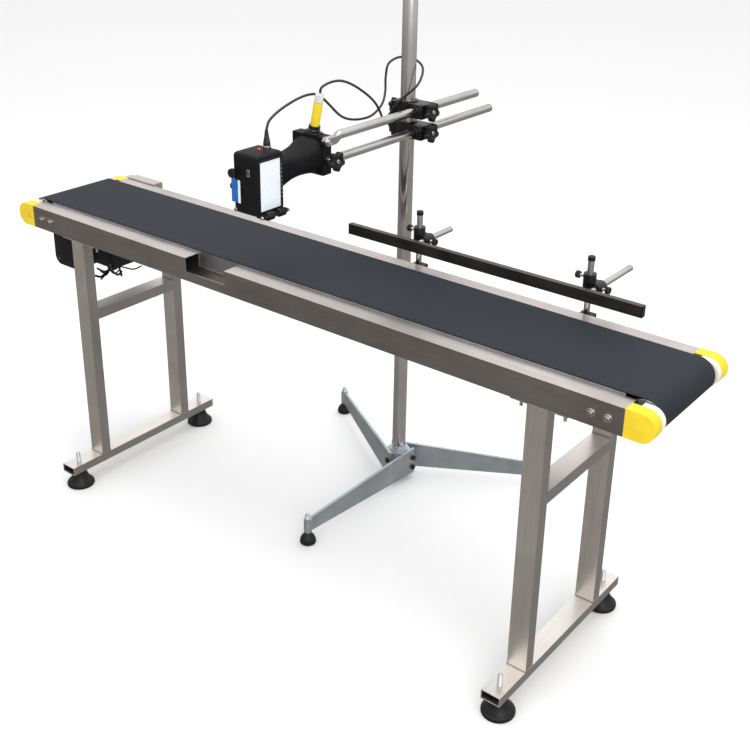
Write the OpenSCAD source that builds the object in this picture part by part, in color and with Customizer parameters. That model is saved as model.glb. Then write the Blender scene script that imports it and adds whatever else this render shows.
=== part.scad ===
// Belt conveyor with a date-code inkjet printer held over the belt by a tripod stand.
// Lengths in millimetres. X runs along the belt, Y across it, Z up.
// The origin is on the floor, under the middle of the whole machine.

/* [Conveyor] */
// Overall length, over the end caps
conveyor_len = 1600; // [1300:10:1800]
// Overall width, over the side rails
conveyor_w = 280; // [260:5:320]
// Width of each side rail
rail_w = 40; // [36:1:44]
// Height of each side rail
rail_h = 50; // [50:1:60]
// Height of the top of the rails above the floor
rail_top = 655; // [640:5:700]
// Wall of the box tubes
tube_wall = 2; // [1.5:0.5:3]
// Height of the belt surface above the rails
belt_rise = 6; // [5:0.5:8]
// Thickness of the conveyor belt
belt_t = 2; // [1.5:0.5:3]
// Radius of the two end rollers
roller_r = 30; // [26:1:30]
// Length of the plastic end caps
cap_len = 53; // [50:1:60]

/* [Legs] */
// Distance of each leg frame from the middle of the conveyor
leg_x = 594; // [500:2:600]
// Width of the leg tubes along the conveyor
leg_tube_w = 40; // [36:1:45]
// Depth of the leg tubes across the conveyor
leg_tube_d = 25; // [20:1:30]
// Length of the foot bars
foot_bar_len = 452; // [440:2:500]
// Height of the foot bars
foot_bar_h = 20; // [20:1:24]
// Height of the top of the crossbars above the floor
crossbar_top = 437; // [300:1:500]
// Distance of each levelling foot from the middle of the conveyor
foot_y = 195; // [180:1:200]

/* [Product guide] */
// Length of the guide bar
guide_len = 660; // [560:10:700]
// Middle of the guide bar, along the conveyor
guide_mid_x = 320; // [280:5:340]
// Distance of the guide bar from the middle of the belt
guide_y = 110; // [90:1:112]
// Height of the guide bar and its two rods
guide_z = 706; // [700:1:715]

/* [Stand] */
// Place of the pole along the conveyor
pole_x = -26; // [-60:1:60]
// Distance of the pole from the middle of the conveyor
pole_y = 320; // [300:5:340]
// Diameter of the pole
pole_d = 32; // [30:1:32]
// Height of the top of the pole
pole_top = 1270; // [1100:10:1400]
// Distance from the pole to each foot of the tripod
stand_reach = 347; // [300:1:360]
// Height of the upper arm
upper_arm_z = 918; // [912:1:924]
// Height of the lower arm
lower_arm_z = 873; // [868:1:878]
// Diameter of the two arms
arm_d = 18; // [16:1:18]

/* [Printer] */
// Width of the printer body along the conveyor
printer_w = 66; // [60:1:70]
// Depth of the printer body across the conveyor
printer_d = 72; // [68:1:76]
// Height of the printer body
printer_h = 120; // [116:1:126]
// Height of the bottom of the printer above the floor
printer_z = 786; // [780:1:790]

/* [Hidden] */
$fn = 48;

// Gap of a running fit, on the radius
fit = 0.05;
// Gap of a part that is fixed in its hole, on the radius
snug = 0.02;
// Gap between a screw and the hole that it passes through, on the radius
screw_gap = 0.2;

// The whole machine is centred on the origin across the belt
foot_pad_r = 32;
lower_arm_far_y = 592;
mid_y = (lower_arm_far_y - foot_y - foot_pad_r) / 2;

// Conveyor
rail_x = conveyor_len / 2 - cap_len;
rail_bottom = rail_top - rail_h;
bed_half = conveyor_w / 2 - rail_w;
belt_gap = 0.3;
belt_out_r = roller_r + belt_gap + belt_t;
roller_x = conveyor_len / 2 - 5 - belt_out_r;
roller_z = rail_top + belt_rise - belt_out_r;
belt_half = bed_half - 1;
shaft_r = 8;
bolt_r = 3;
bracket_bolt_x = [rail_x - 58, rail_x - 28];
bracket_bolt_z = rail_bottom + 23;
window_x = [-241, -129];
window_z = rail_bottom + 20;
// The yellow caps cover the outer part of the rails, and the bearing bars show inside them
cap_inner_y = bed_half + 16;

// Legs
foot_bar_z = 42;
foot_stud_r = 5;
leg_plate_len = 110;
leg_plate_t = 4;
leg_bolt_dx = 42;
upright_y = (conveyor_w - leg_tube_d) / 2;

// Drive
motor_x = -695;
motor_z = 550;
motor_r = 44;
motor_shaft_r = 7;
tooth_pitch = 5;
roller_teeth = 22;
motor_teeth = 18;
roller_pulley_r = roller_teeth * tooth_pitch / (2 * PI);
motor_pulley_r = motor_teeth * tooth_pitch / (2 * PI);
pulley_y = conveyor_w / 2 + 8;
pulley_w = 14;
cover_wall = 1.6;

// Guide
guide_post_x = [134, 519];
guide_post_y = conveyor_w / 2 + 15;
guide_post_r = 6;
guide_rod_dx = 18;
guide_rod_far_y = [240, 285];
guide_bar_d = 12;
guide_bar_h = 22;

// Stand
hub_r = 30;
hub_z = 14;
hub_h = 64;
hub_flat = hub_r * cos(30);
hub_bolt_x = -14;
hub_bolt_z = [18, 44];
stand_leg_t = 6;
stand_stud_r = 6;

// Arms and clamps
arm_x = pole_x + 33;
upper_eye_z = 911;
stand_turn = 2;
stand_leg_run = sqrt(pow(stand_reach, 2) - pow(hub_flat + stand_leg_t / 2, 2));
leg_turn = stand_turn - 90 - asin((hub_flat + stand_leg_t / 2) / stand_reach);
arm_r = arm_d / 2;
upper_arm_near_y = 16;
lower_arm_near_y = 26;
upper_arm_far_y = 532;
clamp_x = [pole_x - 27, arm_x + 20];
clamp_d = 44;
clamp_h = 30;

// Printer and the plate of its battery base
printer_x = [-30 - printer_w, -30];
printer_y = [-66 - printer_d, -66];
printer_top = printer_z + printer_h;
plate_x = [-78, 1];
plate_y = [12, 37];
plate_z = [842, 919];
shell_split_x = -60;
screen_y = [-132, -76];
screen_z = [797, 894];
wheel_x = -21;
wheel_z = 789;
button_at = [-65, -96];
socket_at = [-60, -80];
sensor_at = [-33.4, 25, 924];
sensor_lean = 12;
grip_waist_y = -34;

// Route of the sensor cable, from the end of the sensor to the boot on the printer
cable_r = 2.5;
cable_route = [
    [-17, 25, 1001], [-14, 27, 1012], [-12, 52, 1018], [-12, 84, 1015], [-14, 122, 1000],
    [-18, 168, 974], [-26, 207, 948], [-38, 240, 920], [-52, 267, 898], [-60, 284, 890],
    [-52, 290, 904], [-38, 290, 924], [-18, 291, 944], [0, 294, 960], [10, 304, 974],
    [10, 318, 990], [2, 332, 1002], [-12, 342, 1010], [-30, 345, 1016], [-48, 336, 1020],
    [-60, 320, 1018], [-68, 303, 1006], [-70, 298, 978], [-67, 294, 952], [-61, 279, 932],
    [-53, 252, 921], [-44, 210, 915], [-40, 157, 920], [-37, 112, 936], [-35, 68, 971],
    [-35, 42, 991], [-37, 18, 996], [-41, -8, 993], [-47, -34, 984], [-54, -56, 972],
    [-59, -73, 958], [-60, -80, 942]];

// Puts a module on the machine's centre line
module place() {
    translate([0, -mid_y, 0]) children();
}

// Round bar along X, Y or Z that starts at a point
module bar_x(at, r, len) {
    translate(at) rotate([0, 90, 0]) cylinder(r = r, h = len);
}
module bar_y(at, r, len) {
    translate(at) rotate([-90, 0, 0]) cylinder(r = r, h = len);
}
module bar_z(at, r, len) {
    translate(at) cylinder(r = r, h = len);
}

// Block between two corners
module block(low, high) {
    translate(low) cube(high - low);
}

// Box tube between two corners, open at both ends along one axis (0 = X, 1 = Y, 2 = Z)
module box_tube(low, high, axis) {
    inset = [for (i = [0:2]) i == axis ? -1 : tube_wall];
    difference() {
        block(low, high);
        block(low + inset, high - inset);
    }
}

// Outline with two full round ends, in X and Y
module stadium(half_len, r) {
    square([2 * half_len, 2 * r], center = true);
    for (s = [-1, 1]) translate([s * half_len, 0]) circle(r = r);
}

// Outline that stands in the X-Z plane, given its thickness and the Y where it starts
module upright(y, t) {
    translate([0, y + t, 0]) rotate([90, 0, 0]) linear_extrude(t) children();
}

// Holes through the outer wall of a rail for the bracket bolts
module bracket_bolt_holes(side, r) {
    for (s = [-1, 1], x = bracket_bolt_x)
        bar_y([s * x, side > 0 ? conveyor_w / 2 - 22 : -conveyor_w / 2 - 1, bracket_bolt_z], r, 23);
}

// Holes in the underside of a rail for the bolts of the leg plates
module leg_bolt_holes(side) {
    for (s = [-1, 1], d = [-1, 1])
        bar_z([s * leg_x + d * leg_bolt_dx, side * (conveyor_w - rail_w) / 2, rail_bottom - 1],
            bolt_r + screw_gap, tube_wall + 2);
}

module rail(side) {
    inner = conveyor_w / 2 - rail_w;
    outer = conveyor_w / 2;
    low_y = side > 0 ? inner : -outer;
    high_y = side > 0 ? outer : -inner;
    difference() {
        box_tube([-rail_x, low_y, rail_bottom], [rail_x, high_y, rail_top], 0);
        bracket_bolt_holes(side, bolt_r + screw_gap);
        leg_bolt_holes(side);
    }
}

module near_rail() {
    color("lightgray") place() difference() {
        rail(-1);
        block([window_x[0], -conveyor_w / 2 - 1, window_z],
            [window_x[1], -bed_half + 1, rail_top + 1]);
    }
}

module far_rail() {
    color("lightgray") place() rail(1);
}

// Folded sheet that carries the belt between the rails
module slider_bed() {
    top = rail_top + belt_rise - belt_t - belt_gap;
    low = window_z - 2;
    half_len = roller_x - roller_r - 6;
    color("silver") place() difference() {
        block([-half_len, -bed_half, low], [half_len, bed_half, top]);
        block([-half_len - 1, -bed_half + 2, low - 1], [half_len + 1, bed_half - 2, top - 2]);
    }
}

module conveyor_belt() {
    color("darkslategray") place() translate([0, 0, roller_z]) upright(-belt_half, 2 * belt_half)
        difference() {
            stadium(roller_x, belt_out_r);
            stadium(roller_x, belt_out_r - belt_t);
        }
}

// Outline of an end cap in X and Z, for the right end
module cap_outline(inset) {
    r = (rail_h + 1) / 2 - 0.5 - inset;
    far = conveyor_len / 2 - inset;
    low = rail_bottom + inset;
    high = rail_top + 1 - inset;
    translate([rail_x, low]) square([far - r - rail_x, high - low]);
    translate([rail_x, low + r]) square([far - rail_x, high - low - 2 * r]);
    for (z = [low + r, high - r]) translate([far - r, z]) circle(r = r);
}

module end_cap(s, side) {
    wall = 2.5;
    outer_y = conveyor_w / 2 + 1;
    mirror([s < 0 ? 1 : 0, 0, 0]) mirror([0, side < 0 ? 1 : 0, 0]) difference() {
        upright(cap_inner_y, outer_y - cap_inner_y) cap_outline(0);
        upright(cap_inner_y - 1, conveyor_w / 2 - 1 - cap_inner_y) cap_outline(wall);
        if (s < 0 && side > 0) bar_y([roller_x, outer_y - 10, roller_z], shaft_r + 2, 20);
        if (s < 0 && side < 0) translate([roller_x, outer_y, roller_z]) cube([3, 20, 12], center = true);
    }
}

module end_caps() {
    color("gold") place() for (s = [-1, 1], side = [-1, 1]) end_cap(s, side);
}

// Bearing bars that slide into the rail ends and carry the rollers
module roller_brackets() {
    low_y = bed_half + tube_wall + screw_gap;
    high_y = conveyor_w / 2 - tube_wall - screw_gap;
    low_z = rail_bottom + tube_wall + 1;
    high_z = rail_top - tube_wall - 1;
    color("ivory") place() for (s = [-1, 1], side = [-1, 1])
        mirror([s < 0 ? 1 : 0, 0, 0]) mirror([0, side < 0 ? 1 : 0, 0]) difference() {
            union() {
                block([rail_x - 75, low_y, low_z], [roller_x, high_y, high_z]);
                bar_y([roller_x, low_y, roller_z], 20, high_y - low_y);
                intersection() {
                    upright(bed_half + 1, cap_inner_y - bed_half - 1.2) cap_outline(1);
                    block([rail_x + 15, 0, 0], [conveyor_len, conveyor_w, rail_top + 9]);
                }
            }
            block([rail_x - 20, low_y - 1, rail_top - 20], [rail_x + 15, cap_inner_y, rail_top]);
            bar_y([roller_x, bed_half, roller_z], shaft_r + fit, 60);
            for (x = bracket_bolt_x)
                bar_y([x, high_y - 14, bracket_bolt_z], bolt_r + screw_gap, 20);
        }
}

// Hexagon bolt along +Y with its head towards -Y
module hex_bolt(at, len) {
    bar_y([at[0], at[1], at[2]], bolt_r, len);
    bar_y([at[0], at[1] - 1.2, at[2]], 7.5, 1.2);
    translate([at[0], at[1] - 6.2, at[2]]) rotate([-90, 0, 0]) cylinder(r = 5.8, h = 5, $fn = 6);
}

module frame_bolts() {
    color("silver") place() {
        for (s = [-1, 1], side = [-1, 1], x = bracket_bolt_x)
            mirror([0, side > 0 ? 1 : 0, 0]) hex_bolt([s * x, -conveyor_w / 2, bracket_bolt_z], 12);
        for (s = [-1, 1], side = [-1, 1], d = [-1, 1])
            translate([s * leg_x + d * leg_bolt_dx, side * (conveyor_w - rail_w) / 2, 0]) {
                bar_z([0, 0, rail_bottom - leg_plate_t - 16], bolt_r, 24);
                translate([0, 0, rail_bottom - leg_plate_t - 5]) cylinder(r = 5.8, h = 5, $fn = 6);
            }
    }
}

// Welded leg frame: two uprights with top plates, a crossbar and a foot bar
module leg_frame(x) {
    low_x = x - leg_tube_w / 2;
    high_x = x + leg_tube_w / 2;
    bar_top = foot_bar_z + foot_bar_h;
    half_bar = foot_bar_len / 2;
    inner_y = conveyor_w / 2 - leg_tube_d;
    difference() {
        union() {
            block([low_x, -half_bar, foot_bar_z], [high_x, half_bar, bar_top]);
            for (s = [-1, 1]) {
                translate([x, s * upright_y, (bar_top + rail_bottom) / 2])
                    cube([leg_tube_w, leg_tube_d, rail_bottom - bar_top], center = true);
                translate([x, s * (conveyor_w - rail_w) / 2, rail_bottom - leg_plate_t / 2])
                    cube([leg_plate_len, 34, leg_plate_t], center = true);
            }
            block([low_x, -inner_y, crossbar_top - leg_tube_d], [high_x, inner_y, crossbar_top]);
        }
        block([low_x + tube_wall, -half_bar - 1, foot_bar_z + tube_wall],
            [high_x - tube_wall, half_bar + 1, bar_top - tube_wall]);
        block([low_x + tube_wall, -inner_y, crossbar_top - leg_tube_d + tube_wall],
            [high_x - tube_wall, inner_y, crossbar_top - tube_wall]);
        for (s = [-1, 1]) {
            translate([x, s * upright_y, (bar_top + rail_bottom - leg_plate_t) / 2])
                cube([leg_tube_w - 2 * tube_wall, leg_tube_d - 2 * tube_wall,
                    rail_bottom - leg_plate_t - bar_top], center = true);
            bar_z([x, s * foot_y, foot_bar_z - 1], foot_stud_r + fit, foot_bar_h + 2);
            for (d = [-1, 1])
                bar_z([x + d * leg_bolt_dx, s * (conveyor_w - rail_w) / 2, rail_bottom - 10],
                    bolt_r + screw_gap, 12);
        }
    }
}

module left_leg() {
    color("darkgray") place() leg_frame(-leg_x);
}

module right_leg() {
    color("darkgray") place() leg_frame(leg_x);
}

// Levelling foot: round pad with a cone and a steel stud
module levelling_foot(s, side) {
    translate([s * leg_x, side * foot_y, 0]) rotate_extrude() polygon([
        [0, 0], [foot_pad_r, 0], [foot_pad_r, 9], [27, 14], [16, 34], [13, foot_bar_z - 0.3],
        [foot_stud_r, foot_bar_z - 0.3], [foot_stud_r, 86], [0, 86]]);
}

module foot_near_left() {
    color("black") place() levelling_foot(-1, -1);
}

module foot_far_left() {
    color("black") place() levelling_foot(-1, 1);
}

module foot_near_right() {
    color("black") place() levelling_foot(1, -1);
}

module foot_far_right() {
    color("black") place() levelling_foot(1, 1);
}

module roller(x, far_y) {
    bar_y([x, -belt_half, roller_z], roller_r, 2 * belt_half);
    bar_y([x, -conveyor_w / 2 + 6, roller_z], shaft_r, far_y + conveyor_w / 2 - 6);
}

module drive_roller() {
    color("dimgray") place() roller(-roller_x, pulley_y + pulley_w);
}

module idler_roller() {
    color("dimgray") place() roller(roller_x, conveyor_w / 2 - 6);
}

module toothed_pulley(x, z, r, teeth) {
    bar_y([x, pulley_y, z], r - 1.2, pulley_w);
    for (i = [0:teeth - 1]) translate([x, pulley_y, z]) rotate([0, 360 * i / teeth, 0])
        translate([r - 2, 0, -1]) cube([1.8, pulley_w, 2]);
}

module roller_pulley() {
    color("silver") place() difference() {
        toothed_pulley(-roller_x, roller_z, roller_pulley_r, roller_teeth);
        bar_y([-roller_x, pulley_y - 1, roller_z], shaft_r + snug, pulley_w + 2);
    }
}

// Motor pulley with the output shaft of the gearbox
module motor_pulley() {
    color("silver") place() {
        toothed_pulley(motor_x, motor_z, motor_pulley_r, motor_teeth);
        bar_y([motor_x, conveyor_w / 2 - 21.5, motor_z], motor_shaft_r,
            pulley_y + pulley_w - conveyor_w / 2 + 21.5);
    }
}

// Motor with its gearbox, bolted under the far rail
module gear_motor() {
    gearbox_y = [52, 100];
    color("black") place() difference() {
        union() {
            upright(-98, 150) rounded_rect([motor_x - motor_r, motor_z - motor_r],
                [motor_x + motor_r, motor_z + motor_r], 20);
            block([motor_x - 44, gearbox_y[0], motor_z - 44], [motor_x + 44, gearbox_y[1], motor_z + 44]);
            block([motor_x - 44, gearbox_y[1], motor_z - 44],
                [motor_x + 44, conveyor_w / 2 - 2, rail_bottom]);
        }
        bar_y([motor_x, conveyor_w / 2 - 22, motor_z], motor_shaft_r + fit, 30);
    }
}

// Box on the side of the motor that holds its wiring
module terminal_box() {
    color("black") place() block([motor_x + motor_r + 2, -70, 524], [motor_x + 132, 46, 594]);
}

// Outline round both pulleys, in X and Z
module pulley_loop(extra) {
    hull() {
        translate([-roller_x, roller_z]) circle(r = roller_pulley_r + extra);
        translate([motor_x, motor_z]) circle(r = motor_pulley_r + extra);
    }
}

module drive_belt() {
    color("black") place() upright(pulley_y + 2, pulley_w - 4) difference() {
        pulley_loop(2.3);
        pulley_loop(0.3);
    }
}

// Guard over the pulleys, on the outside of the far rail
module drive_cover_outline(inset) {
    translate([-rail_x + inset, 520 + inset]) square([93 - 2 * inset, rail_top + 3 - 520 - 2 * inset]);
    hull() {
        translate([-roller_x, roller_z]) circle(r = 25 - inset);
        translate([-rail_x + 26, 546]) circle(r = 26 - inset);
    }
}

module drive_cover() {
    inner_y = conveyor_w / 2 + 1.2;
    color("lightgray") place() {
        difference() {
            upright(inner_y, 28) drive_cover_outline(0);
            upright(inner_y - 1, 28 + 1 - cover_wall) drive_cover_outline(cover_wall);
        }
        block([-rail_x + 2, conveyor_w / 2, rail_top - 12],
            [-rail_x + 92, inner_y + 1, rail_top + 3 - cover_wall]);
    }
}

module guide_bar() {
    half = guide_len / 2 - 2;
    color("dimgray") place() difference() {
        block([guide_mid_x - half, guide_y - guide_bar_d / 2, guide_z - guide_bar_h / 2],
            [guide_mid_x + half, guide_y + guide_bar_d / 2, guide_z + guide_bar_h / 2]);
        for (x = guide_post_x) bar_y([x + guide_rod_dx, guide_y, guide_z], guide_post_r + snug, 20);
    }
}

module guide_bar_caps() {
    color("black") place() for (s = [-1, 1])
        translate([guide_mid_x + s * (guide_len / 2 - 1), guide_y, guide_z])
            cube([2, guide_bar_d, guide_bar_h], center = true);
}

module guide_rods() {
    color("silver") place() for (i = [0, 1])
        bar_y([guide_post_x[i] + guide_rod_dx, guide_y, guide_z], guide_post_r,
            guide_rod_far_y[i] - guide_y);
}

// Cross clamps that join each rod to its post
module guide_clamps() {
    color("black") place() for (x = guide_post_x) difference() {
        union() {
            bar_z([x, guide_post_y, guide_z - 14], 12, 38);
            block([x, guide_post_y - 11, guide_z - 11], [x + guide_rod_dx, guide_post_y + 11, guide_z + 11]);
            bar_y([x + guide_rod_dx, guide_post_y - 14, guide_z], 11, 28);
        }
        bar_z([x, guide_post_y, guide_z - 20], guide_post_r + fit, 60);
        bar_y([x + guide_rod_dx, guide_post_y - 20, guide_z], guide_post_r + fit, 40);
        bar_x([x - 13, guide_post_y, guide_z + 16], 3 + screw_gap, 10);
        bar_x([x + guide_rod_dx + 4, guide_post_y, guide_z], 3 + screw_gap, 10);
    }
}

module guide_posts() {
    color("silver") place() for (x = guide_post_x)
        bar_z([x, guide_post_y, rail_top - 40], guide_post_r, 148);
}

module guide_brackets() {
    color("black") place() for (x = guide_post_x) difference() {
        block([x - 14, conveyor_w / 2, rail_top - 42], [x + 14, guide_post_y + 14, rail_top - 6]);
        bar_z([x, guide_post_y, rail_top - 50], guide_post_r + snug, 60);
    }
}

// Thumb screws that lock the cross clamps
module guide_screws() {
    color("black") place() for (x = guide_post_x) {
        bar_x([x - 20.5, guide_post_y, guide_z + 16], 3, 14);
        bar_x([x - 28, guide_post_y, guide_z + 16], 7, 8);
        bar_x([x + guide_rod_dx + 6.5, guide_post_y, guide_z], 3, 10.5);
        bar_x([x + guide_rod_dx + 16.5, guide_post_y, guide_z], 7, 8);
    }
}

module stand_hub() {
    color("lightsteelblue") place() translate([pole_x, pole_y, hub_z]) difference() {
        union() {
            rotate([0, 0, leg_turn + 120]) cylinder(r = hub_r, h = hub_h, $fn = 6);
            cylinder(r = 22, h = hub_h + 4);
        }
        bar_z([0, 0, 4], pole_d / 2 + fit, hub_h + 5);
        for (a = [0, 120, 240], z = hub_bolt_z) rotate([0, 0, a + leg_turn])
            bar_y([hub_bolt_x, hub_flat - 9, z], bolt_r + screw_gap, 12);
    }
}

// Tapered plates of the tripod, each bolted flat on one side of the hub, with a socket for its foot
module stand_legs() {
    color("slategray") place() translate([pole_x, pole_y, 0]) for (a = [0, 120, 240])
        rotate([0, 0, a + leg_turn]) difference() {
            union() {
                upright(hub_flat, stand_leg_t) polygon([[-22, hub_z], [-22, hub_z + 67],
                    [stand_leg_run - 8, 62], [stand_leg_run - 8, 28]]);
                bar_z([stand_leg_run, hub_flat + stand_leg_t / 2, 29], stand_stud_r + 3, 33);
            }
            bar_z([stand_leg_run, hub_flat + stand_leg_t / 2, 20], stand_stud_r + snug, 60);
            for (z = hub_bolt_z)
                bar_y([hub_bolt_x, hub_flat - 1, hub_z + z], bolt_r + screw_gap, stand_leg_t + 2);
        }
}

module stand_bolts() {
    color("black") place() translate([pole_x, pole_y, 0]) for (a = [0, 120, 240], z = hub_bolt_z)
        rotate([0, 0, a + leg_turn]) {
            bar_y([hub_bolt_x, hub_flat - 8, hub_z + z], bolt_r, stand_leg_t + 8);
            bar_y([hub_bolt_x, hub_flat + stand_leg_t, hub_z + z], 6, 6);
        }
}

// Rubber feet of the tripod, each on its stud
module stand_feet() {
    color("black") place() translate([pole_x, pole_y, 0]) for (a = [0, 120, 240])
        rotate([0, 0, a + leg_turn]) translate([stand_leg_run, hub_flat + stand_leg_t / 2, 0])
            rotate_extrude() polygon([[0, 0], [16, 0], [18, 5], [17, 12], [13, 21], [stand_stud_r, 26],
                [stand_stud_r, 74], [0, 74]]);
}

module stand_pole() {
    color("silver") place() difference() {
        bar_z([pole_x, pole_y, hub_z + 4.2], pole_d / 2, pole_top - hub_z - 4.2);
        bar_z([pole_x, pole_y, hub_z + 4], pole_d / 2 - 2, pole_top - hub_z + 2);
    }
}

// Cross clamp with one bore for the pole and one for an arm
module cross_clamp(z) {
    color("black") place() difference() {
        union() {
            block([clamp_x[0], pole_y - clamp_d / 2, z - clamp_h / 2],
                [clamp_x[1], pole_y + clamp_d / 2, z + clamp_h / 2]);
            bar_z([pole_x, pole_y, z - clamp_h / 2], 25, clamp_h);
        }
        bar_z([pole_x, pole_y, z - 30], pole_d / 2 + fit, 60);
        bar_y([arm_x, pole_y - 40, z], arm_r + fit, 80);
        bar_x([arm_x + arm_r - 1, pole_y, z], 4 + fit, 30);
        bar_x([clamp_x[0] - 1, pole_y, z], 4.1, 20);
    }
}

module upper_clamp() {
    cross_clamp(upper_arm_z);
}

module lower_clamp() {
    cross_clamp(lower_arm_z);
}

// Five-pointed hand knob along +X with a screw towards -X
module star_knob(at, r, t, screw_r, screw_len) {
    translate(at) rotate([0, 90, 0]) difference() {
        union() {
            linear_extrude(t) union() {
                circle(r = r * 0.74);
                for (i = [0:4]) rotate(72 * i) translate([r * 0.72, 0]) circle(r = r * 0.28);
            }
            translate([0, 0, -4]) cylinder(r = r * 0.4, h = 5);
            translate([0, 0, -screw_len]) cylinder(r = screw_r, h = screw_len);
        }
        translate([0, 0, t - 2]) cylinder(r = r * 0.3, h = 3);
    }
}

// Star knobs that lock both clamps on the pole
module pole_lock_knobs() {
    color("black") place() for (z = [upper_arm_z, lower_arm_z])
        translate([clamp_x[0] - 4.5, pole_y, z]) rotate([0, 0, 180]) star_knob([0, 0, 0], 16, 10, 4, 14);
}

module upper_clamp_knob() {
    color("black") place() star_knob([clamp_x[1] + 4.5, pole_y, upper_arm_z], 21, 13, 4, 15);
}

module lower_clamp_knob() {
    color("black") place() star_knob([clamp_x[1] + 4.5, pole_y, lower_arm_z], 21, 13, 4, 15);
}

// Arm tube with a flattened eye at its near end
module arm(z, eye_z, near_y, far_y) {
    side_x = plate_x[1] + 0.1;
    eye_t = 2 * (arm_x - side_x);
    color("silver") place() difference() {
        union() {
            bar_y([arm_x, near_y + 22, z], arm_r, far_y - near_y - 22);
            bar_x([side_x, near_y, eye_z], 9, eye_t);
            block([side_x, near_y, min(z, eye_z) - 7], [side_x + eye_t, near_y + 26, max(z, eye_z) + 7]);
        }
        bar_x([side_x - 1, near_y, eye_z], 3 + screw_gap, eye_t + 2);
        bar_y([arm_x, near_y + 60, z], arm_r - 2, far_y);
    }
}

module upper_arm() {
    arm(upper_arm_z, upper_eye_z, upper_arm_near_y, upper_arm_far_y);
}

module lower_arm() {
    arm(lower_arm_z, lower_arm_z, lower_arm_near_y, lower_arm_far_y);
}

// Screw that holds the eye of the upper arm
module arm_bolt() {
    eye_end = 2 * arm_x - plate_x[1] - 0.1;
    color("silver") place() difference() {
        union() {
            bar_x([plate_x[1] - 15, upper_arm_near_y, upper_eye_z], 3, eye_end - plate_x[1] + 15);
            bar_x([eye_end, upper_arm_near_y, upper_eye_z], 5.5, 4);
        }
        translate([eye_end + 3, upper_arm_near_y, upper_eye_z]) rotate([0, 90, 0])
            cylinder(r = 2.9, h = 5, $fn = 6);
    }
}

// Star knob that holds the eye of the lower arm
module arm_knob() {
    eye_end = 2 * arm_x - plate_x[1] - 0.1;
    color("black") place()
        star_knob([eye_end + 4.3, lower_arm_near_y, lower_arm_z], 20, 13, 3, eye_end - plate_x[1] + 18);
}

// Square base of the grip, which holds the battery
module battery_base() {
    color("black") place() difference() {
        block([plate_x[0], plate_y[0], plate_z[0]], [plate_x[1], plate_y[1], plate_z[1]]);
        bar_x([plate_x[1] - 16, upper_arm_near_y, upper_eye_z], 3 + screw_gap, 20);
        bar_x([plate_x[1] - 16, lower_arm_near_y, lower_arm_z], 3 + fit, 20);
    }
}

// Rounded rectangle with its corners on four circles, in X and Z
module rounded_rect(low, high, r) {
    translate([low[0] + r, low[1]]) square([high[0] - low[0] - 2 * r, high[1] - low[1]]);
    translate([low[0], low[1] + r]) square([high[0] - low[0], high[1] - low[1] - 2 * r]);
    for (x = [low[0] + r, high[0] - r], z = [low[1] + r, high[1] - r])
        translate([x, z]) circle(r = r);
}

// Grip that flares from the printer body to the battery base
module printer_grip() {
    color("black") place() difference() {
        union() {
            hull() {
                upright(printer_y[1], 2) rounded_rect([-86, 824], [-34, 886], 14, $fn = 32);
                upright(grip_waist_y, 4) rounded_rect([-76, 838], [-24, 893], 25, $fn = 32);
            }
            hull() {
                upright(grip_waist_y, 4) rounded_rect([-76, 838], [-24, 893], 25, $fn = 32);
                upright(plate_y[0] - 2, 2) rounded_rect([plate_x[0] + 3, plate_z[0] + 2],
                    [plate_x[1] - 2, plate_z[1] - 5], 30, $fn = 32);
            }
        }
        block([-72, -58, 800], [-56, -32, 848]);
    }
}

module printer_shell(low_x, high_x) {
    difference() {
        upright(printer_y[0], printer_d)
            rounded_rect([printer_x[0], printer_z], [printer_x[1], printer_top], 6);
        block([low_x - 50, printer_y[0] - 1, printer_z - 1], [low_x, printer_y[1] + 1, printer_top + 1]);
        block([high_x, printer_y[0] - 1, printer_z - 1], [high_x + 50, printer_y[1] + 1, printer_top + 1]);
        block([printer_x[0] + 3, printer_y[0] + 3, printer_z + 3],
            [printer_x[1] - 4, printer_y[1] - 3, printer_top - 3]);
    }
}

// Half of the printer housing that carries the screen
module printer_front_cover() {
    color("black") place() difference() {
        union() {
            printer_shell(shell_split_x, printer_x[1]);
            for (y = [printer_y[0] + 6, -101, printer_y[1] - 6])
                block([printer_x[1] - 6, y - 3, printer_z + 0.5], [wheel_x + 3, y + 3, printer_z + 8]);
        }
        block([printer_x[1] - 1.5, screen_y[0], screen_z[0]], [0, screen_y[1], screen_z[1]]);
        bar_z([socket_at[0], socket_at[1], printer_top - 5], 5.2, 10);
        bar_y([wheel_x, printer_y[0] - 1, wheel_z], 2 + fit, printer_d + 2);
        block([-58, printer_y[0] - 1, 864], [-50, printer_y[0] + 4, 878]);
    }
}

// Half of the printer housing that holds the ink cartridge
module printer_rear_cover() {
    color("black") place() difference() {
        printer_shell(printer_x[0], shell_split_x);
        block([printer_x[0] - 1, printer_y[0] - 1, 806], [-74.8, printer_y[0] + 40, 854]);
        block([-92, printer_y[0] + 4, printer_z - 1], [-79, printer_y[1] - 30, printer_z + 4]);
        bar_z([button_at[0], button_at[1], printer_top - 5], 4 + fit, 10);
        bar_z([socket_at[0], socket_at[1], printer_top - 5], 5.2, 10);
        bar_y([-90, printer_y[0] - 1, 866], 2 + fit, 8);
    }
}

module display_screen() {
    color("white") place() block([printer_x[1] - 1.4, screen_y[0] + 0.1, screen_z[0] + 0.1],
        [printer_x[1] - 0.2, screen_y[1] - 0.1, screen_z[1] - 0.1]);
}

module power_button() {
    color("red") place() {
        bar_z([button_at[0], button_at[1], printer_top - 4.2], 4, 6.2);
        bar_z([button_at[0], button_at[1], printer_top - 4.2], 6, 1);
    }
}

// Trigger under the grip
module trigger() {
    color("dimgray") place() block([-71, -56, 826], [-57, -34, 843]);
}

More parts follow.
